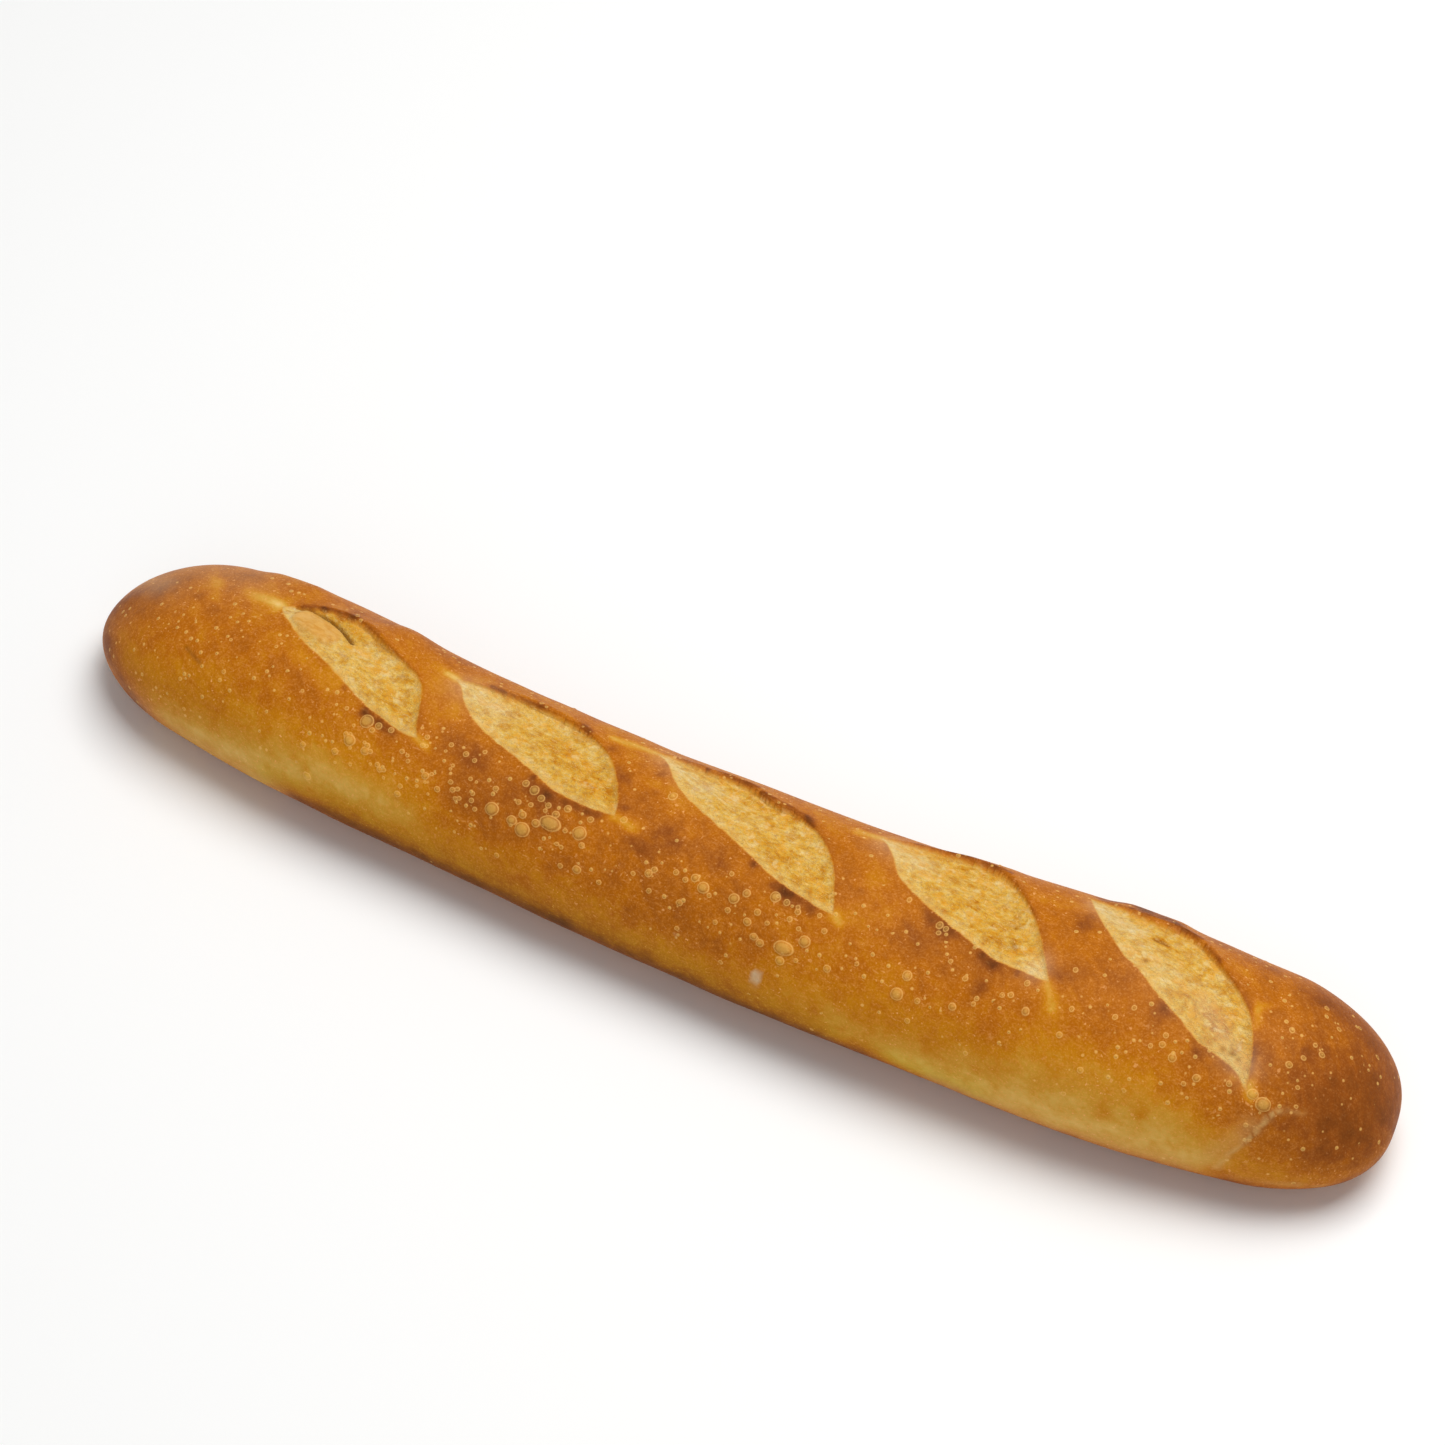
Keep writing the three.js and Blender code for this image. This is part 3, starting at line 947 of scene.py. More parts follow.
@dataclass
class Crust:
    """The loaf's skin: its mesh, its relief, and what each point of it knows."""

    form: LoafForm = field(default_factory=LoafForm)
    rings: int = 320
    lines_around: int = 84
    crowding: float = 0.5
    crowded_side: float = -10.0  # the lines lie closest here, in view from the front
    refinements: tuple[Refinement, ...] = (
        Refinement(cut_margin=5.0, feature_margin=2.0, whole_crumb=True),
        Refinement(cut_margin=1.3, feature_margin=0.6, whole_crumb=False),
    )
    measured_places: int = 4001  # where the length over the noses is measured
    slashes: tuple[Slash, ...] = SLASHES
    ragged_edges: tuple[Unevenness, ...] = (
        Unevenness(0.25, 3.4, 7.0), Unevenness(0.12, 1.4, 13.0),
    )
    ear_width: float = 1.7
    lumps: tuple[Lump, ...] = LUMPS
    lumps_start: tuple[float, float] = (-0.6, 0.1)  # sines of the angles where they swell up
    lumps_end: float = 0.07  # share of the loaf over which they fade to a nose
    swells: tuple[Stroke, ...] = SWELLS
    crust_swell: Unevenness = Unevenness(0.22, 17.0, 3.0)
    crumb_swells: tuple[Unevenness, ...] = (
        Unevenness(0.3, 5.5, 11.0), Unevenness(0.14, 2.3, 31.0),
    )
    crumb_edge: tuple[float, float] = (0.2, 1.5)
    seams: tuple[Stroke, ...] = SEAMS
    seam_rise: float = 0.8
    slit: tuple[Stroke, ...] = SLIT_PARTS
    slit_depth: float = 2.0
    slit_shade: float = 0.95
    flap: Stroke = FLAP
    flap_rise: float = 1.0
    flap_flat: float = 0.55  # share of its radius
    flap_inset: tuple[float, float] = (0.3, 1.2)
    pits: tuple[Pit, ...] = PITS
    large_blisters: tuple[Blister, ...] = LARGE_BLISTERS
    blister_fields: tuple[BlisterField, ...] = BLISTER_FIELDS
    blister_gap: float = 0.7  # least gap between two, in radii
    blister_off_cut: float = 0.5
    blister_furthest: float = 212.0  # none is scattered at a station beyond this
    blister_wobble: Unevenness = Unevenness(0.16, 1.9, 41.0)
    rim_reach: float = 3.0
    full_skin_radius: float = 1.3  # a smaller blister's skin shows as much as this one's
    browning_and_shading: tuple[Stroke, ...] = BROWNING_AND_SHADING
    toasted: tuple[Stroke, ...] = TOASTED_MARKS
    torn: tuple[Stroke, ...] = TORN_MARKS
    dried: tuple[Stroke, ...] = DRIED_MARKS
    pale: tuple[Stroke, ...] = PALE_MARKS
    flank_shade_marks: tuple[Stroke, ...] = FLANK_SHADE_MARKS
    floured: tuple[Stroke, ...] = FLOURED
    crumb_toast: float = 0.46
    ear_toast: float = 0.05
    broken_marks: Unevenness = Unevenness(0.6, 2.6, 19.0)
    seed: int = 21
    object_name: str = "baked_loaf"

    def __post_init__(self) -> None:
        """Scatters the small blisters and measures the loaf's length over its noses."""
        self.blisters = list(self.large_blisters) + self._scattered_blisters()
        station = np.sin(np.linspace(-np.pi / 2, np.pi / 2, self.measured_places))
        profile = self.form.point(station, np.full_like(station, np.pi / 2))
        half_width = self.form.closing(station, EndView.PLAN) * self.form.width_at(station) / 2
        sideways = np.hypot(np.diff(profile[:, 2]), np.diff(half_width))
        steps = np.hypot(np.diff(profile[:, 0]), sideways)
        run = np.concatenate([[0], np.cumsum(steps)])
        self._stations = station
        self._run = run / run[-1] * 2 - 1

    def build(self) -> bpy.types.Object:
        """Models the whole crust as one closed mesh.

        Returns:
            The loaf, in metres, with a mesh attribute for each Tag.
        """
        bm = bmesh.new()
        bmesh.ops.create_uvsphere(bm, u_segments=self.lines_around, v_segments=self.rings, radius=1)
        for refinement in self.refinements:
            self._refine(bm, refinement)
        for face in bm.faces:
            face.smooth = True
        bmesh.ops.recalc_face_normals(bm, faces=bm.faces)
        mesh = bpy.data.meshes.new(self.object_name)
        bm.to_mesh(mesh)
        bm.free()
        self._shape(mesh)
        loaf = bpy.data.objects.new(self.object_name, mesh)
        bpy.context.scene.collection.objects.link(loaf)
        return loaf

    def _scattered_blisters(self) -> list[Blister]:
        """Draws the blisters of each field, clear of the slashes and of each other.

        Returns:
            The blisters that found room.
        """
        rng = np.random.default_rng(self.seed)
        placed = list(self.large_blisters)
        for patch in self.blister_fields:
            for _ in range(patch.count):
                station = patch.station + rng.normal() * patch.spread[0]
                side = patch.side + rng.normal() * patch.spread[1]
                low, high = patch.radii
                radius = low + (high - low) * rng.random() ** 2  # small ones are commoner
                gaps = [math.hypot(station - b.station, side - b.side) - b.radius for b in placed]
                where = np.array([station]), np.array([side])
                in_cut = max(float(slash.read(*where).cut[0]) for slash in self.slashes)
                roomy = min(gaps) > self.blister_gap * radius
                on_crust = in_cut < -radius - self.blister_off_cut
                if roomy and on_crust and abs(station) < self.blister_furthest:
                    placed.append(Blister(station, side, radius))
        return placed[len(self.large_blisters):]

    def _sheet(self, unit: np.ndarray) -> tuple[np.ndarray, np.ndarray]:
        """Reads a sphere's points as places on the crust.

        Args:
            unit: points of a sphere of radius 1, one row each.

        Returns:
            The station from -1 to 1, and the angle from the ridge, positive to the far side.
        """
        latitude = np.arcsin(np.clip(unit[:, 2], -1, 1)) / (np.pi / 2)
        turn = -np.arctan2(unit[:, 1], unit[:, 0]) / np.pi
        from_top = np.pi * turn - self.crowding * np.sin(np.pi * turn)
        middle = self.crowded_side / self.form.crust_radius
        return np.interp(latitude, self._run, self._stations), from_top + middle

    def _refine(self, bm: bmesh.types.BMesh, refinement: Refinement) -> None:
        """Halves the cells of the sphere where the crust has fine relief.

        Args:
            bm: the sphere.
            refinement: how far round the relief.
        """
        bm.verts.index_update()
        unit = np.array([vertex.co[:] for vertex in bm.verts])
        station, from_top = self._sheet(unit)
        chosen = self._near_features(station * self.form.length / 2, self._side(from_top),
                                     refinement)
        edges = [edge for edge in bm.edges if all(chosen[vertex.index] for vertex in edge.verts)]
        bmesh.ops.subdivide_edges(bm, edges=edges, cuts=1, use_grid_fill=True)
        for vertex in bm.verts:
            vertex.co.normalize()

    def _side(self, from_top: np.ndarray) -> np.ndarray:
        """Turns an angle from the ridge into a side of the sheet, wrapped under the base."""
        return ((from_top + np.pi) % (2 * np.pi) - np.pi) * self.form.crust_radius

    def _near_features(self, station: np.ndarray, side: np.ndarray,
                       refinement: Refinement) -> np.ndarray:
        """Says which places lie close to a slash's edge, its crumb, a blister or a pit.

        Args:
            station: along the loaf.
            side: over the loaf.
            refinement: how close.

        Returns:
            True for each place that is close.
        """
        close = np.zeros(station.shape, bool)
        margin = refinement.cut_margin
        for slash in self.slashes:
            near = slash.around(station, side, margin)
            cut = slash.read(station[near], side[near]).cut
            close[near] |= (cut > -margin) & ((cut < margin) | refinement.whole_crumb)
        for small in (*self.blisters, *self.slit, *(pit.mark for pit in self.pits)):
            close |= small.distance(station, side) < small.radius + refinement.feature_margin
        return close

    def _shape(self, mesh: bpy.types.Mesh) -> None:
        """Moves the sphere's points to the crust and stores what they know.

        Args:
            mesh: the refined sphere.
        """
        count = len(mesh.vertices)
        unit = np.empty(count * 3)
        mesh.vertices.foreach_get("co", unit)
        share, from_top = self._sheet(unit.reshape(-1, 3))
        angle = np.pi / 2 - from_top
        station, side = share * self.form.length / 2, self._side(from_top)
        smooth = self.form.point(share, angle)
        knows, relief = self._cuts(station, side)
        along, over = self.form.slopes(share, angle)
        outward = self.form.outward(share, angle)
        lift = self._lumps(share, angle) + relief.height
        lift += self._fine_relief(smooth, station, side, knows)
        shaped = smooth + outward * lift[:, None]
        shaped -= relief.lean[:, 0, None] * along + relief.lean[:, 1, None] * over
        shaped[:, 2] = np.maximum(shaped[:, 2], 0)
        mesh.vertices.foreach_set("co", (shaped * MILLIMETRE).ravel())
        knows[Tag.TOAST_AND_SHADING] = self._toast_and_shading(station, side, knows, relief.ear)
        for tag in Tag:
            layer = mesh.attributes.new(tag.value, "FLOAT", "POINT")
            layer.data.foreach_set("value", knows[tag].astype(np.float32))
        mesh.update()

    def _cuts(self, station: np.ndarray,
              side: np.ndarray) -> tuple[dict[Tag, np.ndarray], CutRelief]:
        """Measures all slashes over the sheet.

        Args:
            station: along the loaf.
            side: over the loaf.

        Returns:
            Distances by Tag, and the relief.
        """
        wide = max(slash.reach for slash in self.slashes)
        knows = {Tag.CUT: np.full(station.shape, -wide)}
        for tag in (Tag.NEAR, Tag.FAR):
            knows[tag] = np.full(station.shape, wide)
        relief = CutRelief(height=np.zeros(station.shape), ear=np.zeros(station.shape),
                           lean=np.zeros((*station.shape, 2)))
        sheet = laid_flat(station, side)
        for slash in self.slashes:
            near = slash.around(station, side, slash.reach)
            ragged = sum(uneven.at(sheet[near]) for uneven in self.ragged_edges)
            read = slash.read(station[near], side[near] + ragged)
            knows[Tag.CUT][near] = np.maximum(knows[Tag.CUT][near], read.cut)
            knows[Tag.NEAR][near] = np.minimum(knows[Tag.NEAR][near], read.near)
            knows[Tag.FAR][near] = np.minimum(knows[Tag.FAR][near], read.far)
            relief.height[near] += read.height
            on_ear = (read.cut < 0) & (read.far < read.near)
            ear = read.openness * bell(read.far, self.ear_width)
            relief.ear[near] += np.where(on_ear, ear, 0)
            turn = slash.turn()
            relief.lean[near, 0] -= read.lean * math.sin(turn)
            relief.lean[near, 1] += read.lean * math.cos(turn)
        return knows, relief

    def _lumps(self, share: np.ndarray, angle: np.ndarray) -> np.ndarray:
        """Gives the gentle swells of the rolled crust, none on the base.

        Args:
            share: the station, from -1 to 1.
            angle: round the section.

        Returns:
            A height for each point.
        """
        swell = sum(lump.height * np.sin(lump.along * share + lump.around * angle + lump.phase)
                    for lump in self.lumps)
        off_base = step_up(np.sin(angle), *self.lumps_start)
        return swell * off_base * step_up(1 - np.abs(share), 0, self.lumps_end)

    def _fine_relief(self, smooth: np.ndarray, station: np.ndarray, side: np.ndarray,
                     knows: dict[Tag, np.ndarray]) -> np.ndarray:
        """Adds blisters, the fold, the flap, pits and the crumb's torn surface.

        Args:
            smooth: the points of the smooth loaf.
            station: along the loaf.
            side: over the loaf.
            knows: what the points know, which gets the tags of these features.

        Returns:
            A height for each point.
        """
        crumb = step_up(knows[Tag.CUT], *self.crumb_edge)
        lift = self.crust_swell.at(smooth) * (1 - crumb)
        lift += crumb * sum(uneven.at(smooth) for uneven in self.crumb_swells)
        lift += self._blister_domes(station, side, knows)
        for tag, strokes in ((Tag.SEAM, self.seams), (Tag.FLOUR, self.floured),
                             (Tag.FLANK_SHADE, self.flank_shade_marks)):
            knows[tag] = strongest(strokes, station, side)
        for stroke in self.seams:
            lift += self.seam_rise * stroke.at(station, side)
        radius = self.flap.radius
        flap = step_up(-self.flap.distance(station, side), -radius, -radius * self.flap_flat)
        knows[Tag.FLAP] = flap * step_up(knows[Tag.CUT], *self.flap_inset)
        lift += self.flap_rise * knows[Tag.FLAP]
        lift += sum(swell.at(station, side) for swell in self.swells)
        slit = strongest(self.slit, station, side)
        lift -= self.slit_depth * slit
        shaded = self.slit_shade * slit
        for pit in self.pits:
            shade = pit.mark.at(station, side)
            shaded = np.maximum(shaded, shade)
            lift -= pit.depth * shade
        knows[Tag.PIT] = shaded
        return lift

    def _blister_domes(self, station: np.ndarray, side: np.ndarray,
                       knows: dict[Tag, np.ndarray]) -> np.ndarray:
        """Raises the blisters and says how densely the smallest ones grew.

        Args:
            station: along the loaf.
            side: over the loaf.
            knows: what the points know, which gets the bubble and foam tags.

        Returns:
            The height of the domes.
        """
        height = np.zeros(station.shape)
        rim = np.full(station.shape, self.rim_reach)
        sheet = laid_flat(station, side)
        ragged = self.blister_wobble.at(sheet)
        for blister in self.blisters:
            distance = blister.distance(station, side) + ragged
            outside = distance - blister.radius
            deeper = max(1.0, self.full_skin_radius / blister.radius) ** 0.5
            rim = np.minimum(rim, np.where(outside < 0, deeper * outside, outside))
            height = np.maximum(height, blister.dome(distance))
        foam = np.zeros(station.shape)
        for patch in self.blister_fields:
            foam = np.maximum(foam, patch.foam(station, side))
        knows[Tag.BUBBLE] = rim
        knows[Tag.FOAM] = foam
        return height

    def _toast_and_shading(self, station: np.ndarray, side: np.ndarray, knows: dict[Tag, np.ndarray],
               ear: np.ndarray) -> np.ndarray:
        """Works out how brown each point is, with the painted shade and light low on the flank.

        Args:
            station: along the loaf.
            side: over the loaf.
            knows: what the points know.
            ear: the share of an ear at each.

        Returns:
            The toasting with that painted shade and light, 0 to 1.
        """
        on_crumb = knows[Tag.CUT] > 0
        crust = np.interp(side, TOAST_SIDES, TOAST_AND_SHADING_LEVELS) + self.ear_toast * ear
        crust += sum(mark.at(station, side) for mark in self.browning_and_shading)
        toast_and_shading = np.where(on_crumb, self.crumb_toast, crust)
        sheet = laid_flat(station, side)
        broken = 1 + self.broken_marks.at(sheet)
        for mark in self.toasted:
            toast_and_shading += mark.at(station, side) * broken * ~on_crumb
        for mark in self.pale:
            toast_and_shading += mark.at(station, side) * ~on_crumb
        for mark in self.torn:
            toast_and_shading += mark.at(station, side) * broken
        for mark in self.dried:
            toast_and_shading += mark.at(station, side) * on_crumb
        return np.clip(toast_and_shading, 0, 1)


# Numbered sockets. Math: 0, 1, 2. Map Range: 0 the value, 1 and 2 what it ranges between, falling
# where 1 is the higher, and 3 and 4 what it gives there, if not 0 and 1. Mix of numbers: 0 the
# factor, 2 and 3. The Mix node's colours:
MIX_A, MIX_B, MIX_RESULT = 6, 7, 2

# Settings that many nodes share: a Map Range that eases in and out, and a Mix of colours.
SMOOTH = {"interpolation_type": "SMOOTHSTEP"}
COLOURS = {"output": MIX_RESULT, "data_type": "RGBA"}


def add_node(tree: bpy.types.NodeTree, kind: str, inputs: dict[Any, Any] | None = None,
             stops: tuple[tuple[float, str], ...] = (), output: int | str = 0,
             **settings: Any) -> bpy.types.NodeSocket | None:
    """Adds a node, with its settings and its inputs.

    Args:
        tree: where it goes.
        kind: its type name, without the leading "ShaderNode".
        inputs: input socket, by name or number, to a value or to the socket that feeds it.
        stops: place and hex colour of each stop, for a colour ramp.
        output: the output wanted, by name or number.
        settings: the node's properties.

    Returns:
        That output, or None where the node has no outputs.
    """
    node = tree.nodes.new("ShaderNode" + kind)
    for name, value in settings.items():
        setattr(node, name, value)
    for socket, value in (inputs or {}).items():
        if isinstance(value, bpy.types.NodeSocket):
            tree.links.new(value, node.inputs[socket])
        else:
            node.inputs[socket].default_value = value
    if stops:
        elements = node.color_ramp.elements
        while len(elements) < len(stops):
            elements.new(1)
        for element, (place, colour) in zip(elements, stops):
            element.position = place
            element.color = linear(colour)
    return node.outputs[output] if node.outputs else None


def per_metre(size: float) -> float:
    """Turns the real size of one grain, in millimetres, into a texture scale."""
    return 1 / (size * MILLIMETRE)


@dataclass(frozen=True)
class Layer:
    """One layer of a finish: its colour, its roughness and its height in millimetres."""

    colour: bpy.types.NodeSocket
    roughness: bpy.types.NodeSocket
    height: bpy.types.NodeSocket


@dataclass(frozen=True)
class Window:
    """What an input is turned into: one number at low, another at high, and between them."""

    low: float
    high: float
    at_low: float = 0.0
    at_high: float = 1.0

    def on(self, value: bpy.types.NodeSocket) -> dict[int, Any]:
        """Gives the inputs of the Map Range node that does it."""
        return {0: value, 1: self.low, 2: self.high, 3: self.at_low, 4: self.at_high}


@dataclass(frozen=True)
class Tint:
    """A colour to lay over another, and its share where it lies fully."""

    colour: str | bpy.types.NodeSocket
    share: float


@dataclass(frozen=True)
class Specks:
    """Scattered specks: their distance apart, the largest's radius, and their tint."""

    apart: float
    largest: float
    tint: Tint


@dataclass(frozen=True)
class OvenBakedBread:
    """Wheat bread baked in a steamed oven.

    The steam turns the dough's skin to a thin starch gel, which bakes to a satin, blistered
    crust, amber where it browned least. The crumb that the slashes show dried without browning:
    it is matt, pale and torn into short fibres.
    """

    crust_tones: tuple[tuple[float, str], ...] = (
        (0.0, "#ecca86"), (0.18, "#dab057"), (0.32, "#cc9530"), (0.46, "#c27b08"),
        (0.6, "#b06205"), (0.76, "#8f4a12"), (0.9, "#743c12"), (1.0, "#603010"),
    )
    crumb_tones: tuple[tuple[float, str], ...] = (
        (0.2, "#e6cf98"), (0.34, "#dfbf74"), (0.48, "#d8ab4a"), (0.6, "#cd942c"),
        (0.72, "#b87214"), (0.86, "#985a10"), (1.0, "#74451a"),
    )
    # On the crust: blisters, whose rims and thin skins are paler, starch that popped, painted
    # glints and sheen of its satin skin, stretched seams, flour, and painted shade that makes the
    # skin low on the flank darker and yellower.
    blister_ring: Tint = Tint("#f2bc68", 0.56)
    blister_skin: Tint = Tint("#e8bb5e", 0.43)
    popped_dash: Tint = Tint("#f4b06c", 0.3)
    painted_glint: Tint = Tint("#f4a858", 0.34)
    painted_sheen: Tint = Tint("#f4a858", 0.2)
    seam: Tint = Tint("#dab572", 1.0)
    flour: Tint = Tint("#dccfae", 1.0)
    # Painted shade in the pits and the slit.
    pit: Tint = Tint("#744414", 1.0)
    flank_shade_cast: str = "#edff8c"
    # On the crumb: its pale near rim, its far edge, browned and darkened with painted shade under
    # the ear, stains, tears, dry spots, painted highlights on threads, painted shade in the
    # crevices between them, and the skin that hangs loose in the first slash.
    rim: Tint = Tint("#dfb872", 0.34)
    shaded_torn_edge: Tint = Tint("#c78a3e", 0.3)
    stain: Tint = Tint("#b87016", 0.46)
    tear: Tint = Tint("#a05c10", 0.32)
    dry_spot: Tint = Tint("#e8d39a", 0.42)
    thread_highlight: Tint = Tint("#f3c678", 0.5)
    crevice_shade: Tint = Tint("#7c3c06", 0.32)
    warm_fleck: Tint = Tint("#dc962c", 0.44)
    flap_tones: tuple[str, str] = ("#d69f52", "#c78a3e")
    flap_share: float = 0.75
    flap_calm: float = 0.8  # share of the crumb's relief that the flap lacks
    skin_sheen: float = 0.12  # how much smoother the skin of a blister is
    # What each fades in over: a distance for the first two, and its unevenness for the others.
    crumb_from: Window = Window(-0.35, 0.6)
    large_skin_from: Window = Window(0.2, -1.1)
    painted_glint_from: Window = Window(0.45, 0.8)
    dash_from: Window = Window(0.62, 0.72)
    crowds_from: Window = Window(0.4, 0.62, 0.4, 1.35)
    unburnt_from: Window = Window(0.58, 0.84, 1.0, 0.2)
    warm_from: Window = Window(0.48, 0.64)
    stain_from: Window = Window(0.5, 0.34)
    dry_from: Window = Window(0.6, 0.72)
    torn_from: Window = Window(0.4, 0.7)
    tear_from: Window = Window(0.63, 0.75)
    crevice_shade_from: Window = Window(0.52, 0.3)
    crust_roughness: float = 0.46
    crumb_roughness: float = 0.88
    ior: float = 1.45
    gloss: float = 0.06
    # Size in millimetres and detail: mottle, fine mottle, bloom, pores, crowds of specks.
    crust_grain: tuple[tuple[float, float], ...] = (
        (9.0, 3.0), (2.2, 5.0), (1.3, 3.0), (0.6, 2.0), (22.0, 2.0),
    )
    # The same: patches, lumps, grit, warm flecks, dried spots.
    crumb_grain: tuple[tuple[float, float], ...] = (
        (7.0, 5.0), (2.4, 4.0), (0.7, 2.0), (4.6, 2.5), (4.5, 2.0),
    )
    specks: tuple[Specks, ...] = (
        Specks(1.6, 0.36, Tint("#f4b06c", 0.55)), Specks(4.2, 0.65, Tint("#f4b06c", 0.4)),
    )
    speck_wander: tuple[float, float] = (2.0, 4.0)  # size and reach of it, per largest radius
    speck_edge: float = 0.08  # how soft it is
    small_blisters_apart: float = 3.0
    small_blister_radii: tuple[float, float] = (0.06, 0.14)  # least, and added, per distance apart
    small_blister_height: float = 0.24
    small_blister_rounding: float = 0.5
    ring_widths: tuple[float, float] = (0.14, 0.17)  # round the small and the large blisters
    thread_width: float = 0.018  # share of its unevenness
    thread_height: float = 0.08
    shaded_torn_edge_width: float = 1.0
    rim_width: float = 1.8
    grain_roughness: float = 0.6
    # Length and width of what is drawn out. Single fibres and pores are a tenth of a millimetre
    # across, too fine to show, so they are drawn as coarse as they need to show.
    rolled_streak: tuple[float, float] = (14.0, 4.0)
    dash: tuple[float, float] = (2.4, 0.7)
    fibre: tuple[float, float] = (3.4, 1.3)
    thread_swell: tuple[float, float] = (2.4, 1.3)
    hollow: tuple[float, float] = (3.2, 1.9)
    tear_size: tuple[float, float] = (3.4, 1.5)
    streak_detail: float = 3.0
    streak_distortion: float = 0.6
    # Their directions from +X, in degrees.
    rolled_turn: float = -50.0
    tear_turn: float = -30.0
    fibre_turn: float = -10.0

    def material(self) -> bpy.types.Material:
        """Builds the bread's material.

        Returns:
            A material that reads the crust's tags.
        """
        bread = bpy.data.materials.new("oven_baked_bread")
        bread.use_nodes = True
        tree = bread.node_tree
        tree.nodes.clear()
        place = add_node(tree, "TexCoord", output="Object")
        tags = {tag: add_node(tree, "Attribute", output="Fac", attribute_name=tag.value)
                for tag in Tag}
        crust = self._crust(tree, place, tags)
        crumb = self._crumb(tree, place, tags)
        on_crumb = add_node(tree, "MapRange", self.crumb_from.on(tags[Tag.CUT]), **SMOOTH)
        colour = add_node(tree, "Mix", {0: on_crumb, MIX_A: crust.colour, MIX_B: crumb.colour},
                          **COLOURS)
        colour = self._tinted(tree, colour, (
            (tags[Tag.FLOUR], self.flour), (tags[Tag.PIT], self.pit),
        ))
        roughness = add_node(tree, "Mix", {0: on_crumb, 2: crust.roughness, 3: crumb.roughness})
        height = add_node(tree, "Mix", {0: on_crumb, 2: crust.height, 3: crumb.height})
        bumps = add_node(tree, "Bump", {"Height": height, "Distance": MILLIMETRE, "Strength": 1.0})
        surface = add_node(tree, "BsdfPrincipled", {
            "Base Color": colour, "Roughness": roughness, "Normal": bumps,
            "IOR": self.ior, "Specular IOR Level": self.gloss,
        })
        add_node(tree, "OutputMaterial", {"Surface": surface})
        return bread

    def _crust(self, tree: bpy.types.NodeTree, place: bpy.types.NodeSocket,
               tags: dict[Tag, bpy.types.NodeSocket]) -> Layer:
        """Builds the browned skin, with its mottle, specks, blisters and pale seams.

        Args:
            tree: where it goes.
            place: the socket with the place on the loaf.
            tags: what the crust knows.

        Returns:
            The crust's layer.
        """
        mottle, fine, bloom, pores, crowding = self._grains(tree, place, self.crust_grain)
        rolled = self._streaks(tree, place, self.rolled_streak, self.rolled_turn)
        toast_and_shading = self._shifted(tree, tags[Tag.TOAST_AND_SHADING], ((mottle, 0.28), (rolled, 0.2), (fine, 0.12)))
        tone = add_node(tree, "ValToRGB", {0: toast_and_shading}, self.crust_tones)
        # Painted highlights: glints of the satin skin, in fine spots and in broader ones.
        painted_glints = add_node(tree, "MapRange", self.painted_glint_from.on(pores), **SMOOTH)
        painted_sheens = add_node(tree, "MapRange", self.painted_glint_from.on(bloom), **SMOOTH)
        strokes = self._streaks(tree, place, self.dash, self.fibre_turn)
        dashes = add_node(tree, "MapRange", self.dash_from.on(strokes), **SMOOTH)
        # The gelled starch popped in crowds, with quieter crust between them.
        crowds = add_node(tree, "MapRange", self.crowds_from.on(crowding))
        popped = [(dashes, self.popped_dash)]
        popped += [(self._speckled(tree, place, specks), specks.tint) for specks in self.specks]
        freckles_and_glints = [(painted_glints, self.painted_glint), (painted_sheens, self.painted_sheen)]
        for where, tint in popped:
            crowded = add_node(tree, "Math", {0: where, 1: crowds}, operation="MULTIPLY")
            freckles_and_glints.append((crowded, tint))
        # They toast along with the darkest crust.
        unburnt = add_node(tree, "MapRange", self.unburnt_from.on(toast_and_shading))
        tone = add_node(tree, "Mix", {
            0: unburnt, MIX_A: tone, MIX_B: self._tinted(tree, tone, freckles_and_glints),
        }, **COLOURS)
        # Painted shade low on the flank: the skin there made darker and yellower.
        tone = add_node(tree, "Mix", {
            0: tags[Tag.FLANK_SHADE], MIX_A: tone, MIX_B: linear(self.flank_shade_cast),
        }, **COLOURS, blend_type="MULTIPLY")
        ring, skin, dome = self._blisters(tree, place, tags)
        tone = self._tinted(tree, tone, (
            (skin, self.blister_skin), (ring, self.blister_ring), (tags[Tag.SEAM], self.seam),
        ))
        rough = self._shifted(tree, self.crust_roughness, ((fine, 0.16), ))
        rough = add_node(tree, "Math", {0: skin, 1: -self.skin_sheen, 2: rough},
                         operation="MULTIPLY_ADD")
        return Layer(tone, rough, self._shifted(tree, dome, ((fine, 0.16), (pores, 0.07))))

    def _speckled(self, tree: bpy.types.NodeTree, place: bpy.types.NodeSocket,
                  specks: Specks) -> bpy.types.NodeSocket:
        """Scatters ragged pale specks, where the gelled starch popped.

        Args:
            tree: where they go.
            place: the socket with the place on the loaf.
            specks: their sizes, in millimetres.

        Returns:
            1 in the specks and 0 outside.
        """
        size, reach = (specks.largest * part for part in self.speck_wander)
        wander = add_node(tree, "TexNoise", {"Vector": place, "Scale": per_metre(size)},
                          output="Color")
        reach *= MILLIMETRE
        ragged = add_node(tree, "VectorMath", {0: wander, 1: (reach, reach, reach), 2: place},
                          operation="MULTIPLY_ADD")
        distance = add_node(tree, "TexVoronoi", {
            "Vector": ragged, "Scale": per_metre(specks.apart),
        })
        draw = add_node(tree, "SeparateColor", {0: distance.node.outputs["Color"]})
        radius = add_node(tree, "Math", {0: draw, 1: specks.largest / specks.apart},
                          operation="MULTIPLY")
        inside = add_node(tree, "Math", {0: radius, 1: distance}, operation="SUBTRACT")
        return add_node(tree, "MapRange", {0: inside, 1: 0.0, 2: self.speck_edge / specks.apart},
                        **SMOOTH)

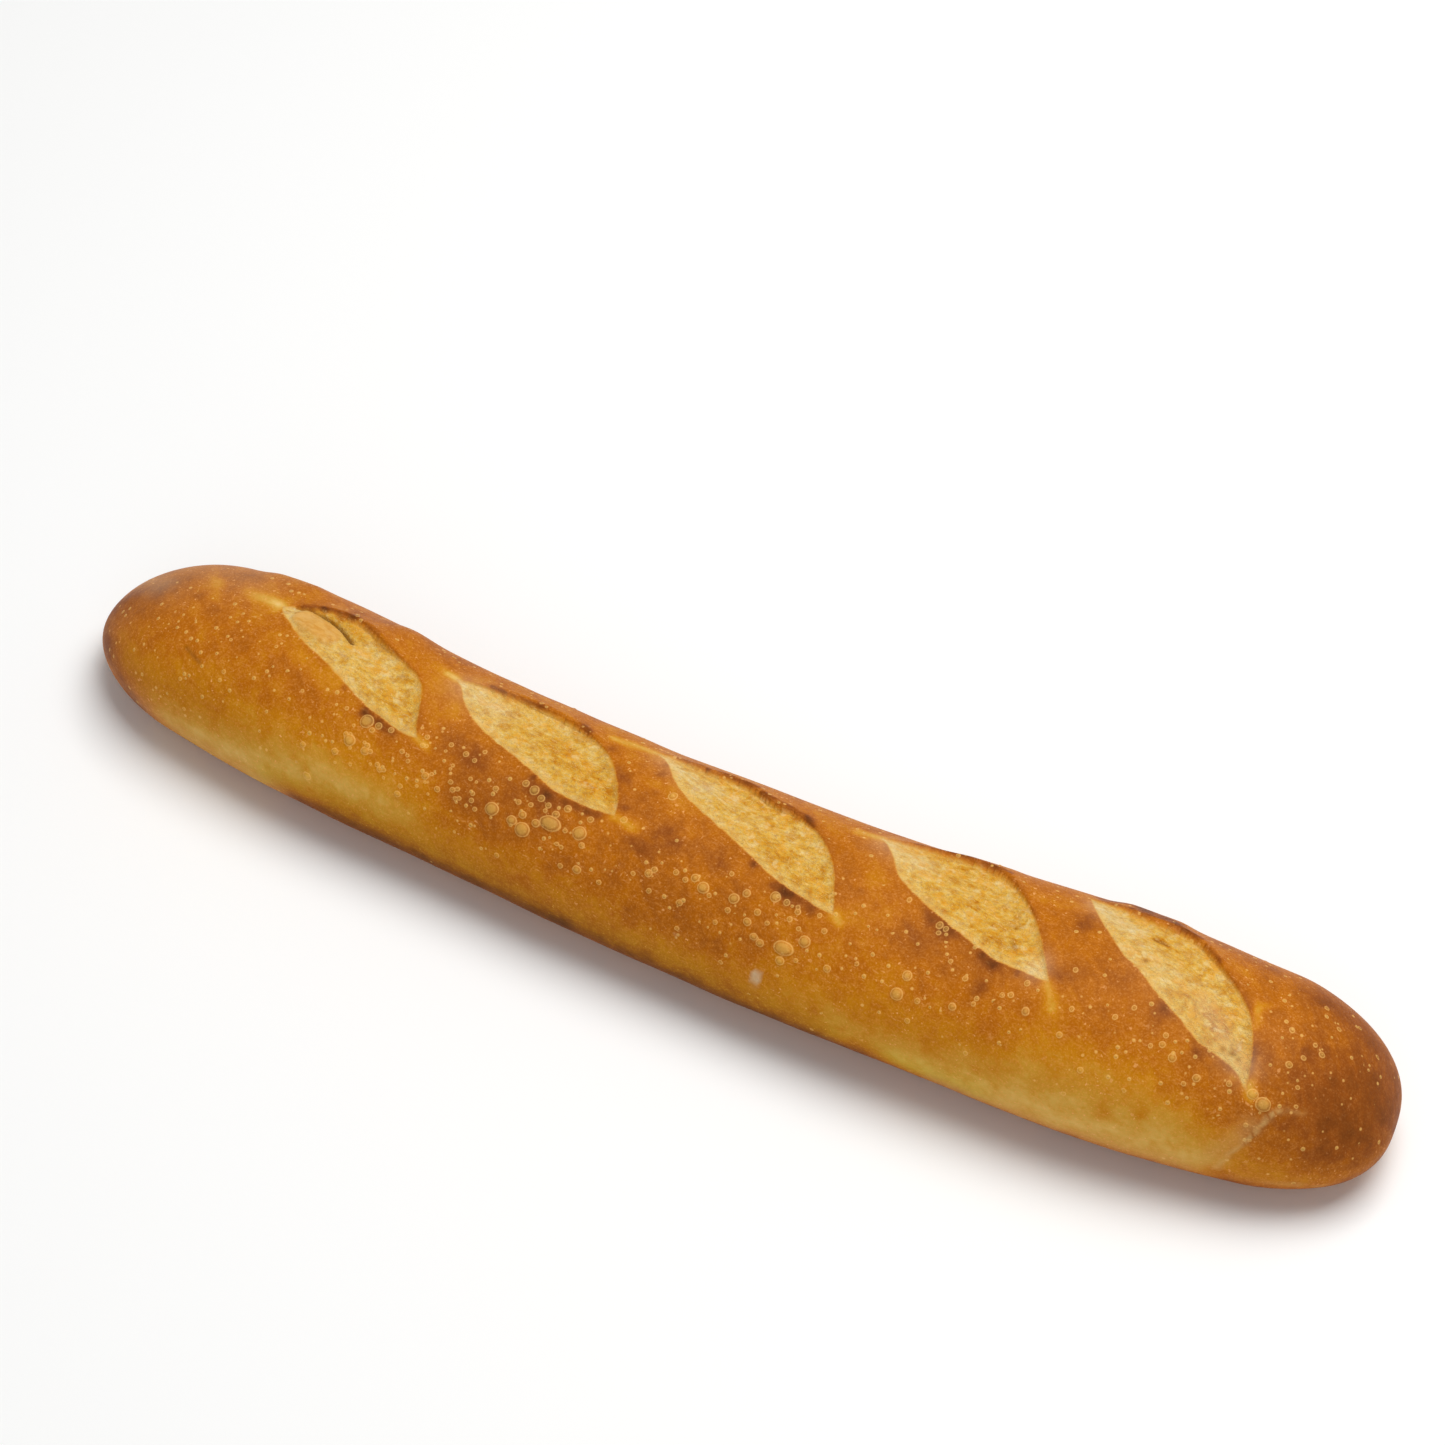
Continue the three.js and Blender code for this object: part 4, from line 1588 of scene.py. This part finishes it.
    def _blisters(self, tree: bpy.types.NodeTree, place: bpy.types.NodeSocket,
                  tags: dict[Tag, bpy.types.NodeSocket]) -> tuple[bpy.types.NodeSocket, ...]:
        """Draws the blisters: pale rings, lighter skins, and the domes of the smallest.

        Args:
            tree: where they go.
            place: the socket with the place on the loaf.
            tags: what the crust knows.

        Returns:
            1 on the rings, 1 on the skins, and the height of the small domes.
        """
        apart = self.small_blisters_apart
        least, added = self.small_blister_radii
        small_width, large_width = self.ring_widths
        distance = add_node(tree, "TexVoronoi", {"Vector": place, "Scale": per_metre(apart)})
        draw = add_node(tree, "SeparateColor", {0: distance.node.outputs["Color"]})
        radius = add_node(tree, "Math", {0: draw, 1: added, 2: least}, operation="MULTIPLY_ADD")
        grown = add_node(tree, "Math", {0: draw.node.outputs["Green"], 1: tags[Tag.FOAM]},
                         operation="LESS_THAN")
        inward = add_node(tree, "Math", {0: radius, 1: distance}, operation="SUBTRACT")
        off_rim = add_node(tree, "Math", {0: inward, 1: apart}, operation="MULTIPLY")
        small_ring = add_node(tree, "Math", {
            0: self._line(tree, off_rim, small_width), 1: grown,
        }, operation="MULTIPLY")
        body = add_node(tree, "MapRange", {0: inward, 1: 0.0, 2: 0.02}, **SMOOTH)
        small_skin = add_node(tree, "Math", {0: body, 1: grown}, operation="MULTIPLY")
        share = add_node(tree, "Math", {0: inward, 1: radius}, operation="DIVIDE")
        bulge = add_node(tree, "MapRange", {0: share, 1: 0.0, 2: 1.0}, **SMOOTH)
        dome = add_node(tree, "Math", {0: bulge, 1: self.small_blister_rounding},
                        operation="POWER")
        dome = add_node(tree, "Math", {0: dome, 1: small_skin}, operation="MULTIPLY")
        dome = add_node(tree, "Math", {0: dome, 1: self.small_blister_height},
                        operation="MULTIPLY")
        ring = add_node(tree, "Math", {
            0: self._line(tree, tags[Tag.BUBBLE], large_width), 1: small_ring,
        }, operation="MAXIMUM")
        large_skin = add_node(tree, "MapRange", self.large_skin_from.on(tags[Tag.BUBBLE]),
                              **SMOOTH)
        skin = add_node(tree, "Math", {0: large_skin, 1: small_skin}, operation="MAXIMUM")
        return ring, skin, dome

    def _crumb(self, tree: bpy.types.NodeTree, place: bpy.types.NodeSocket,
               tags: dict[Tag, bpy.types.NodeSocket]) -> Layer:
        """Builds the torn, dried crumb with its pale near rim and its skin flap.

        Args:
            tree: where it goes.
            place: the socket with the place on the loaf.
            tags: what the crust knows.

        Returns:
            The crumb's layer.
        """
        patches, lumps, grit, warmth, dryness = self._grains(tree, place, self.crumb_grain)
        fibres = self._streaks(tree, place, self.fibre, self.fibre_turn)
        hollows = self._streaks(tree, place, self.hollow, self.fibre_turn)
        tone_at = self._shifted(tree, tags[Tag.TOAST_AND_SHADING], (
            (patches, 0.34), (hollows, 0.44), (fibres, 0.3), (lumps, 0.52), (grit, 0.3),
        ))
        tone = add_node(tree, "ValToRGB", {0: tone_at}, self.crumb_tones)
        warm = add_node(tree, "MapRange", self.warm_from.on(warmth), **SMOOTH)
        dry = add_node(tree, "MapRange", self.dry_from.on(dryness), **SMOOTH)
        # Threads of crumb: raised a little, with painted highlights along them.
        swells = self._streaks(tree, place, self.thread_swell, self.fibre_turn)
        off_thread = add_node(tree, "Math", {0: swells, 1: 0.5}, operation="SUBTRACT")
        threads = self._line(tree, off_thread, self.thread_width)
        patchy = add_node(tree, "Mix", {
            0: add_node(tree, "MapRange", self.torn_from.on(fibres), **SMOOTH),
            MIX_A: linear(self.flap_tones[0]), MIX_B: linear(self.flap_tones[1]),
        }, **COLOURS)
        stains = add_node(tree, "MapRange", self.stain_from.on(warmth), **SMOOTH)
        strands = self._streaks(tree, place, self.tear_size, self.tear_turn)
        tears = add_node(tree, "MapRange", self.tear_from.on(strands), **SMOOTH)
        # Painted shade in the crevices between the threads, where the grit lies low.
        crevice_shades = add_node(tree, "MapRange", self.crevice_shade_from.on(grit), **SMOOTH)
        tone = self._tinted(tree, tone, (
            (stains, self.stain), (tears, self.tear), (crevice_shades, self.crevice_shade),
            (warm, self.warm_fleck), (threads, self.thread_highlight), (dry, self.dry_spot),
            (self._line(tree, tags[Tag.FAR], self.shaded_torn_edge_width), self.shaded_torn_edge),
            (self._line(tree, tags[Tag.NEAR], self.rim_width), self.rim),
            (tags[Tag.FLAP], Tint(patchy, self.flap_share)),
        ))
        rough = self._shifted(tree, self.crumb_roughness, ((grit, 0.1), ))
        height = self._shifted(tree, 0.0, ((lumps, 0.22), (grit, 0.18), (fibres, 0.12)))
        height = add_node(tree, "Math", {0: threads, 1: self.thread_height, 2: height},
                          operation="MULTIPLY_ADD")
        calm = add_node(tree, "Math", {0: tags[Tag.FLAP], 1: -self.flap_calm, 2: 1.0},
                        operation="MULTIPLY_ADD")
        return Layer(tone, rough, add_node(tree, "Math", {0: height, 1: calm},
                                           operation="MULTIPLY"))

    def _shifted(self, tree: bpy.types.NodeTree, value: Any,
                 parts: tuple[tuple[bpy.types.NodeSocket, float], ...]) -> bpy.types.NodeSocket:
        """Moves a number up and down by several kinds of unevenness, about its own value.

        Args:
            tree: where it happens.
            value: the number, or the socket that feeds it.
            parts: each unevenness, about 0.5 on average, and how far it moves the number.

        Returns:
            The uneven number.
        """
        middle = sum(reach for _, reach in parts) / 2
        shifted = add_node(tree, "Math", {0: value, 1: middle}, operation="SUBTRACT")
        for uneven, reach in parts:
            shifted = add_node(tree, "Math", {0: uneven, 1: reach, 2: shifted},
                               operation="MULTIPLY_ADD")
        return shifted

    def _tinted(self, tree: bpy.types.NodeTree, tone: bpy.types.NodeSocket,
                tints: Iterable[tuple[bpy.types.NodeSocket, Tint]]) -> bpy.types.NodeSocket:
        """Lays several colours over a tone.

        Args:
            tree: where it happens.
            tone: the colour below.
            tints: where each is, and the tint.

        Returns:
            The colour on top.
        """
        for where, tint in tints:
            colour = linear(tint.colour) if isinstance(tint.colour, str) else tint.colour
            factor = add_node(tree, "Math", {0: where, 1: tint.share}, operation="MULTIPLY")
            tone = add_node(tree, "Mix", {0: factor, MIX_A: tone, MIX_B: colour}, **COLOURS)
        return tone

    def _grains(self, tree: bpy.types.NodeTree, place: bpy.types.NodeSocket,
                sizes: tuple[tuple[float, float], ...]) -> list[bpy.types.NodeSocket]:
        """Adds unevenness of several real sizes, each about 0.5 on average.

        Args:
            tree: where it goes.
            place: the socket with the place on the loaf.
            sizes: size of a grain in millimetres, and detail.

        Returns:
            One unevenness for each size.
        """
        return [add_node(tree, "TexNoise", {
            "Vector": place, "Scale": per_metre(size), "Detail": detail,
            "Roughness": self.grain_roughness,
        }) for size, detail in sizes]

    def _streaks(self, tree: bpy.types.NodeTree, place: bpy.types.NodeSocket,
                 size: tuple[float, float], turn: float) -> bpy.types.NodeSocket:
        """Adds unevenness drawn out in one direction, about 0.5 on average.

        Args:
            tree: where it goes.
            place: the socket with the place on the loaf.
            size: length and width of a streak, in millimetres.
            turn: direction of the streaks from +X, in degrees.

        Returns:
            The unevenness.
        """
        length, width = per_metre(size[0]), per_metre(size[1])
        turned = add_node(tree, "Mapping", {
            "Vector": place, "Rotation": (0, 0, -math.radians(turn)),
        })
        drawn_out = add_node(tree, "Mapping", {"Vector": turned, "Scale": (length, width, width)})
        return add_node(tree, "TexNoise", {
            "Vector": drawn_out, "Scale": 1.0, "Detail": self.streak_detail,
            "Distortion": self.streak_distortion,
        })

    def _line(self, tree: bpy.types.NodeTree, distance: bpy.types.NodeSocket,
              width: float) -> bpy.types.NodeSocket:
        """Draws a soft line, 1 at no distance and falling to 0 at twice the width.

        Args:
            tree: where it goes.
            distance: how far each place is off the line, on either side.
            width: half of what is seen of the line.

        Returns:
            The line.
        """
        off_line = add_node(tree, "Math", {0: distance}, operation="ABSOLUTE")
        return add_node(tree, "MapRange", {0: off_line, 1: 2 * width, 2: 0.0}, **SMOOTH)


@dataclass(frozen=True)
class Softbox:
    """A square area light that looks at the loaf."""

    name: str
    place: tuple[float, float, float]
    size: float
    power: float
    colour: str = "#ffffff"

    def build(self) -> None:
        """Hangs the light."""
        light = bpy.data.lights.new(self.name, "AREA")
        light.shape = "SQUARE"
        light.size = self.size
        light.energy = self.power
        light.color = linear(self.colour)[:3]
        holder = bpy.data.objects.new(self.name, light)
        holder.location = self.place
        holder.rotation_euler = (-Vector(self.place)).to_track_quat("-Z", "Y").to_euler()
        bpy.context.scene.collection.objects.link(holder)


@dataclass(frozen=True)
class Studio:
    """A plain pale table under soft light, in metres."""

    floor_size: float = 6.0
    floor_tone: str = "#f4f4f3"
    floor_roughness: float = 0.8
    sky_tone: str = "#ffffff"
    sky_strength: float = 0.3
    lights: tuple[Softbox, ...] = (
        Softbox("key_light", (0.25, 0.45, 1.65), 1.2, 27.8),
        Softbox("front_light", (0.5, -1.6, 1.0), 1.6, 6.0),
    )

    def build(self) -> None:
        """Sets out the floor, the lights and the sky."""
        bm = bmesh.new()
        bmesh.ops.create_grid(bm, x_segments=1, y_segments=1, size=self.floor_size / 2)
        mesh = bpy.data.meshes.new("table_top")
        bm.to_mesh(mesh)
        bm.free()
        floor = bpy.data.objects.new("table_top", mesh)
        bpy.context.scene.collection.objects.link(floor)
        mesh.materials.append(self._floor_material())
        for light in self.lights:
            light.build()
        world = bpy.data.worlds.new("studio_sky")
        world.use_nodes = True
        sky = world.node_tree.nodes["Background"]
        sky.inputs["Color"].default_value = linear(self.sky_tone)
        sky.inputs["Strength"].default_value = self.sky_strength
        bpy.context.scene.world = world
        bpy.context.scene.view_settings.view_transform = "Standard"

    def _floor_material(self) -> bpy.types.Material:
        """Makes plain pale card, whose matt fibres give no gloss.

        Returns:
            The material.
        """
        card = bpy.data.materials.new("pale_card")
        card.use_nodes = True
        surface = card.node_tree.nodes["Principled BSDF"]
        surface.inputs["Base Color"].default_value = linear(self.floor_tone)
        surface.inputs["Roughness"].default_value = self.floor_roughness
        return card


@dataclass(frozen=True)
class Viewpoint:
    """The camera, by what it looks at and from where."""

    aim: tuple[float, float, float] = (-0.0125, 0.0319, 0.0469)
    azimuth: float = 27.33
    elevation: float = 50.0
    distance: float = 1.3
    lens: float = 106.52
    sensor: float = 36.0

    def build(self) -> None:
        """Sets the camera up and makes it the scene's."""
        turn, rise = math.radians(self.azimuth), math.radians(self.elevation)
        back = Vector((math.sin(turn) * math.cos(rise), -math.cos(turn) * math.cos(rise),
                       math.sin(rise)))
        data = bpy.data.cameras.new("camera")
        data.lens = self.lens
        data.sensor_width = self.sensor
        camera = bpy.data.objects.new("camera", data)
        camera.location = Vector(self.aim) + back * self.distance
        camera.rotation_euler = (-back).to_track_quat("-Z", "Y").to_euler()
        bpy.context.scene.collection.objects.link(camera)
        bpy.context.scene.camera = camera


def main() -> None:
    """Builds the loaf, the studio and the camera."""
    logging.basicConfig(level=logging.INFO, format="%(message)s")
    Viewpoint().build()
    Studio().build()
    crust = Crust()
    loaf = crust.build()
    loaf.data.materials.append(OvenBakedBread().material())
    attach(loaf, "root")
    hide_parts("loaf")
    triangles = sum(len(face.vertices) - 2 for face in loaf.data.polygons)
    LOG.info("%s: %d triangles, %d blisters", loaf.name, triangles, len(crust.blisters))


if __name__ == "__main__":
    main()
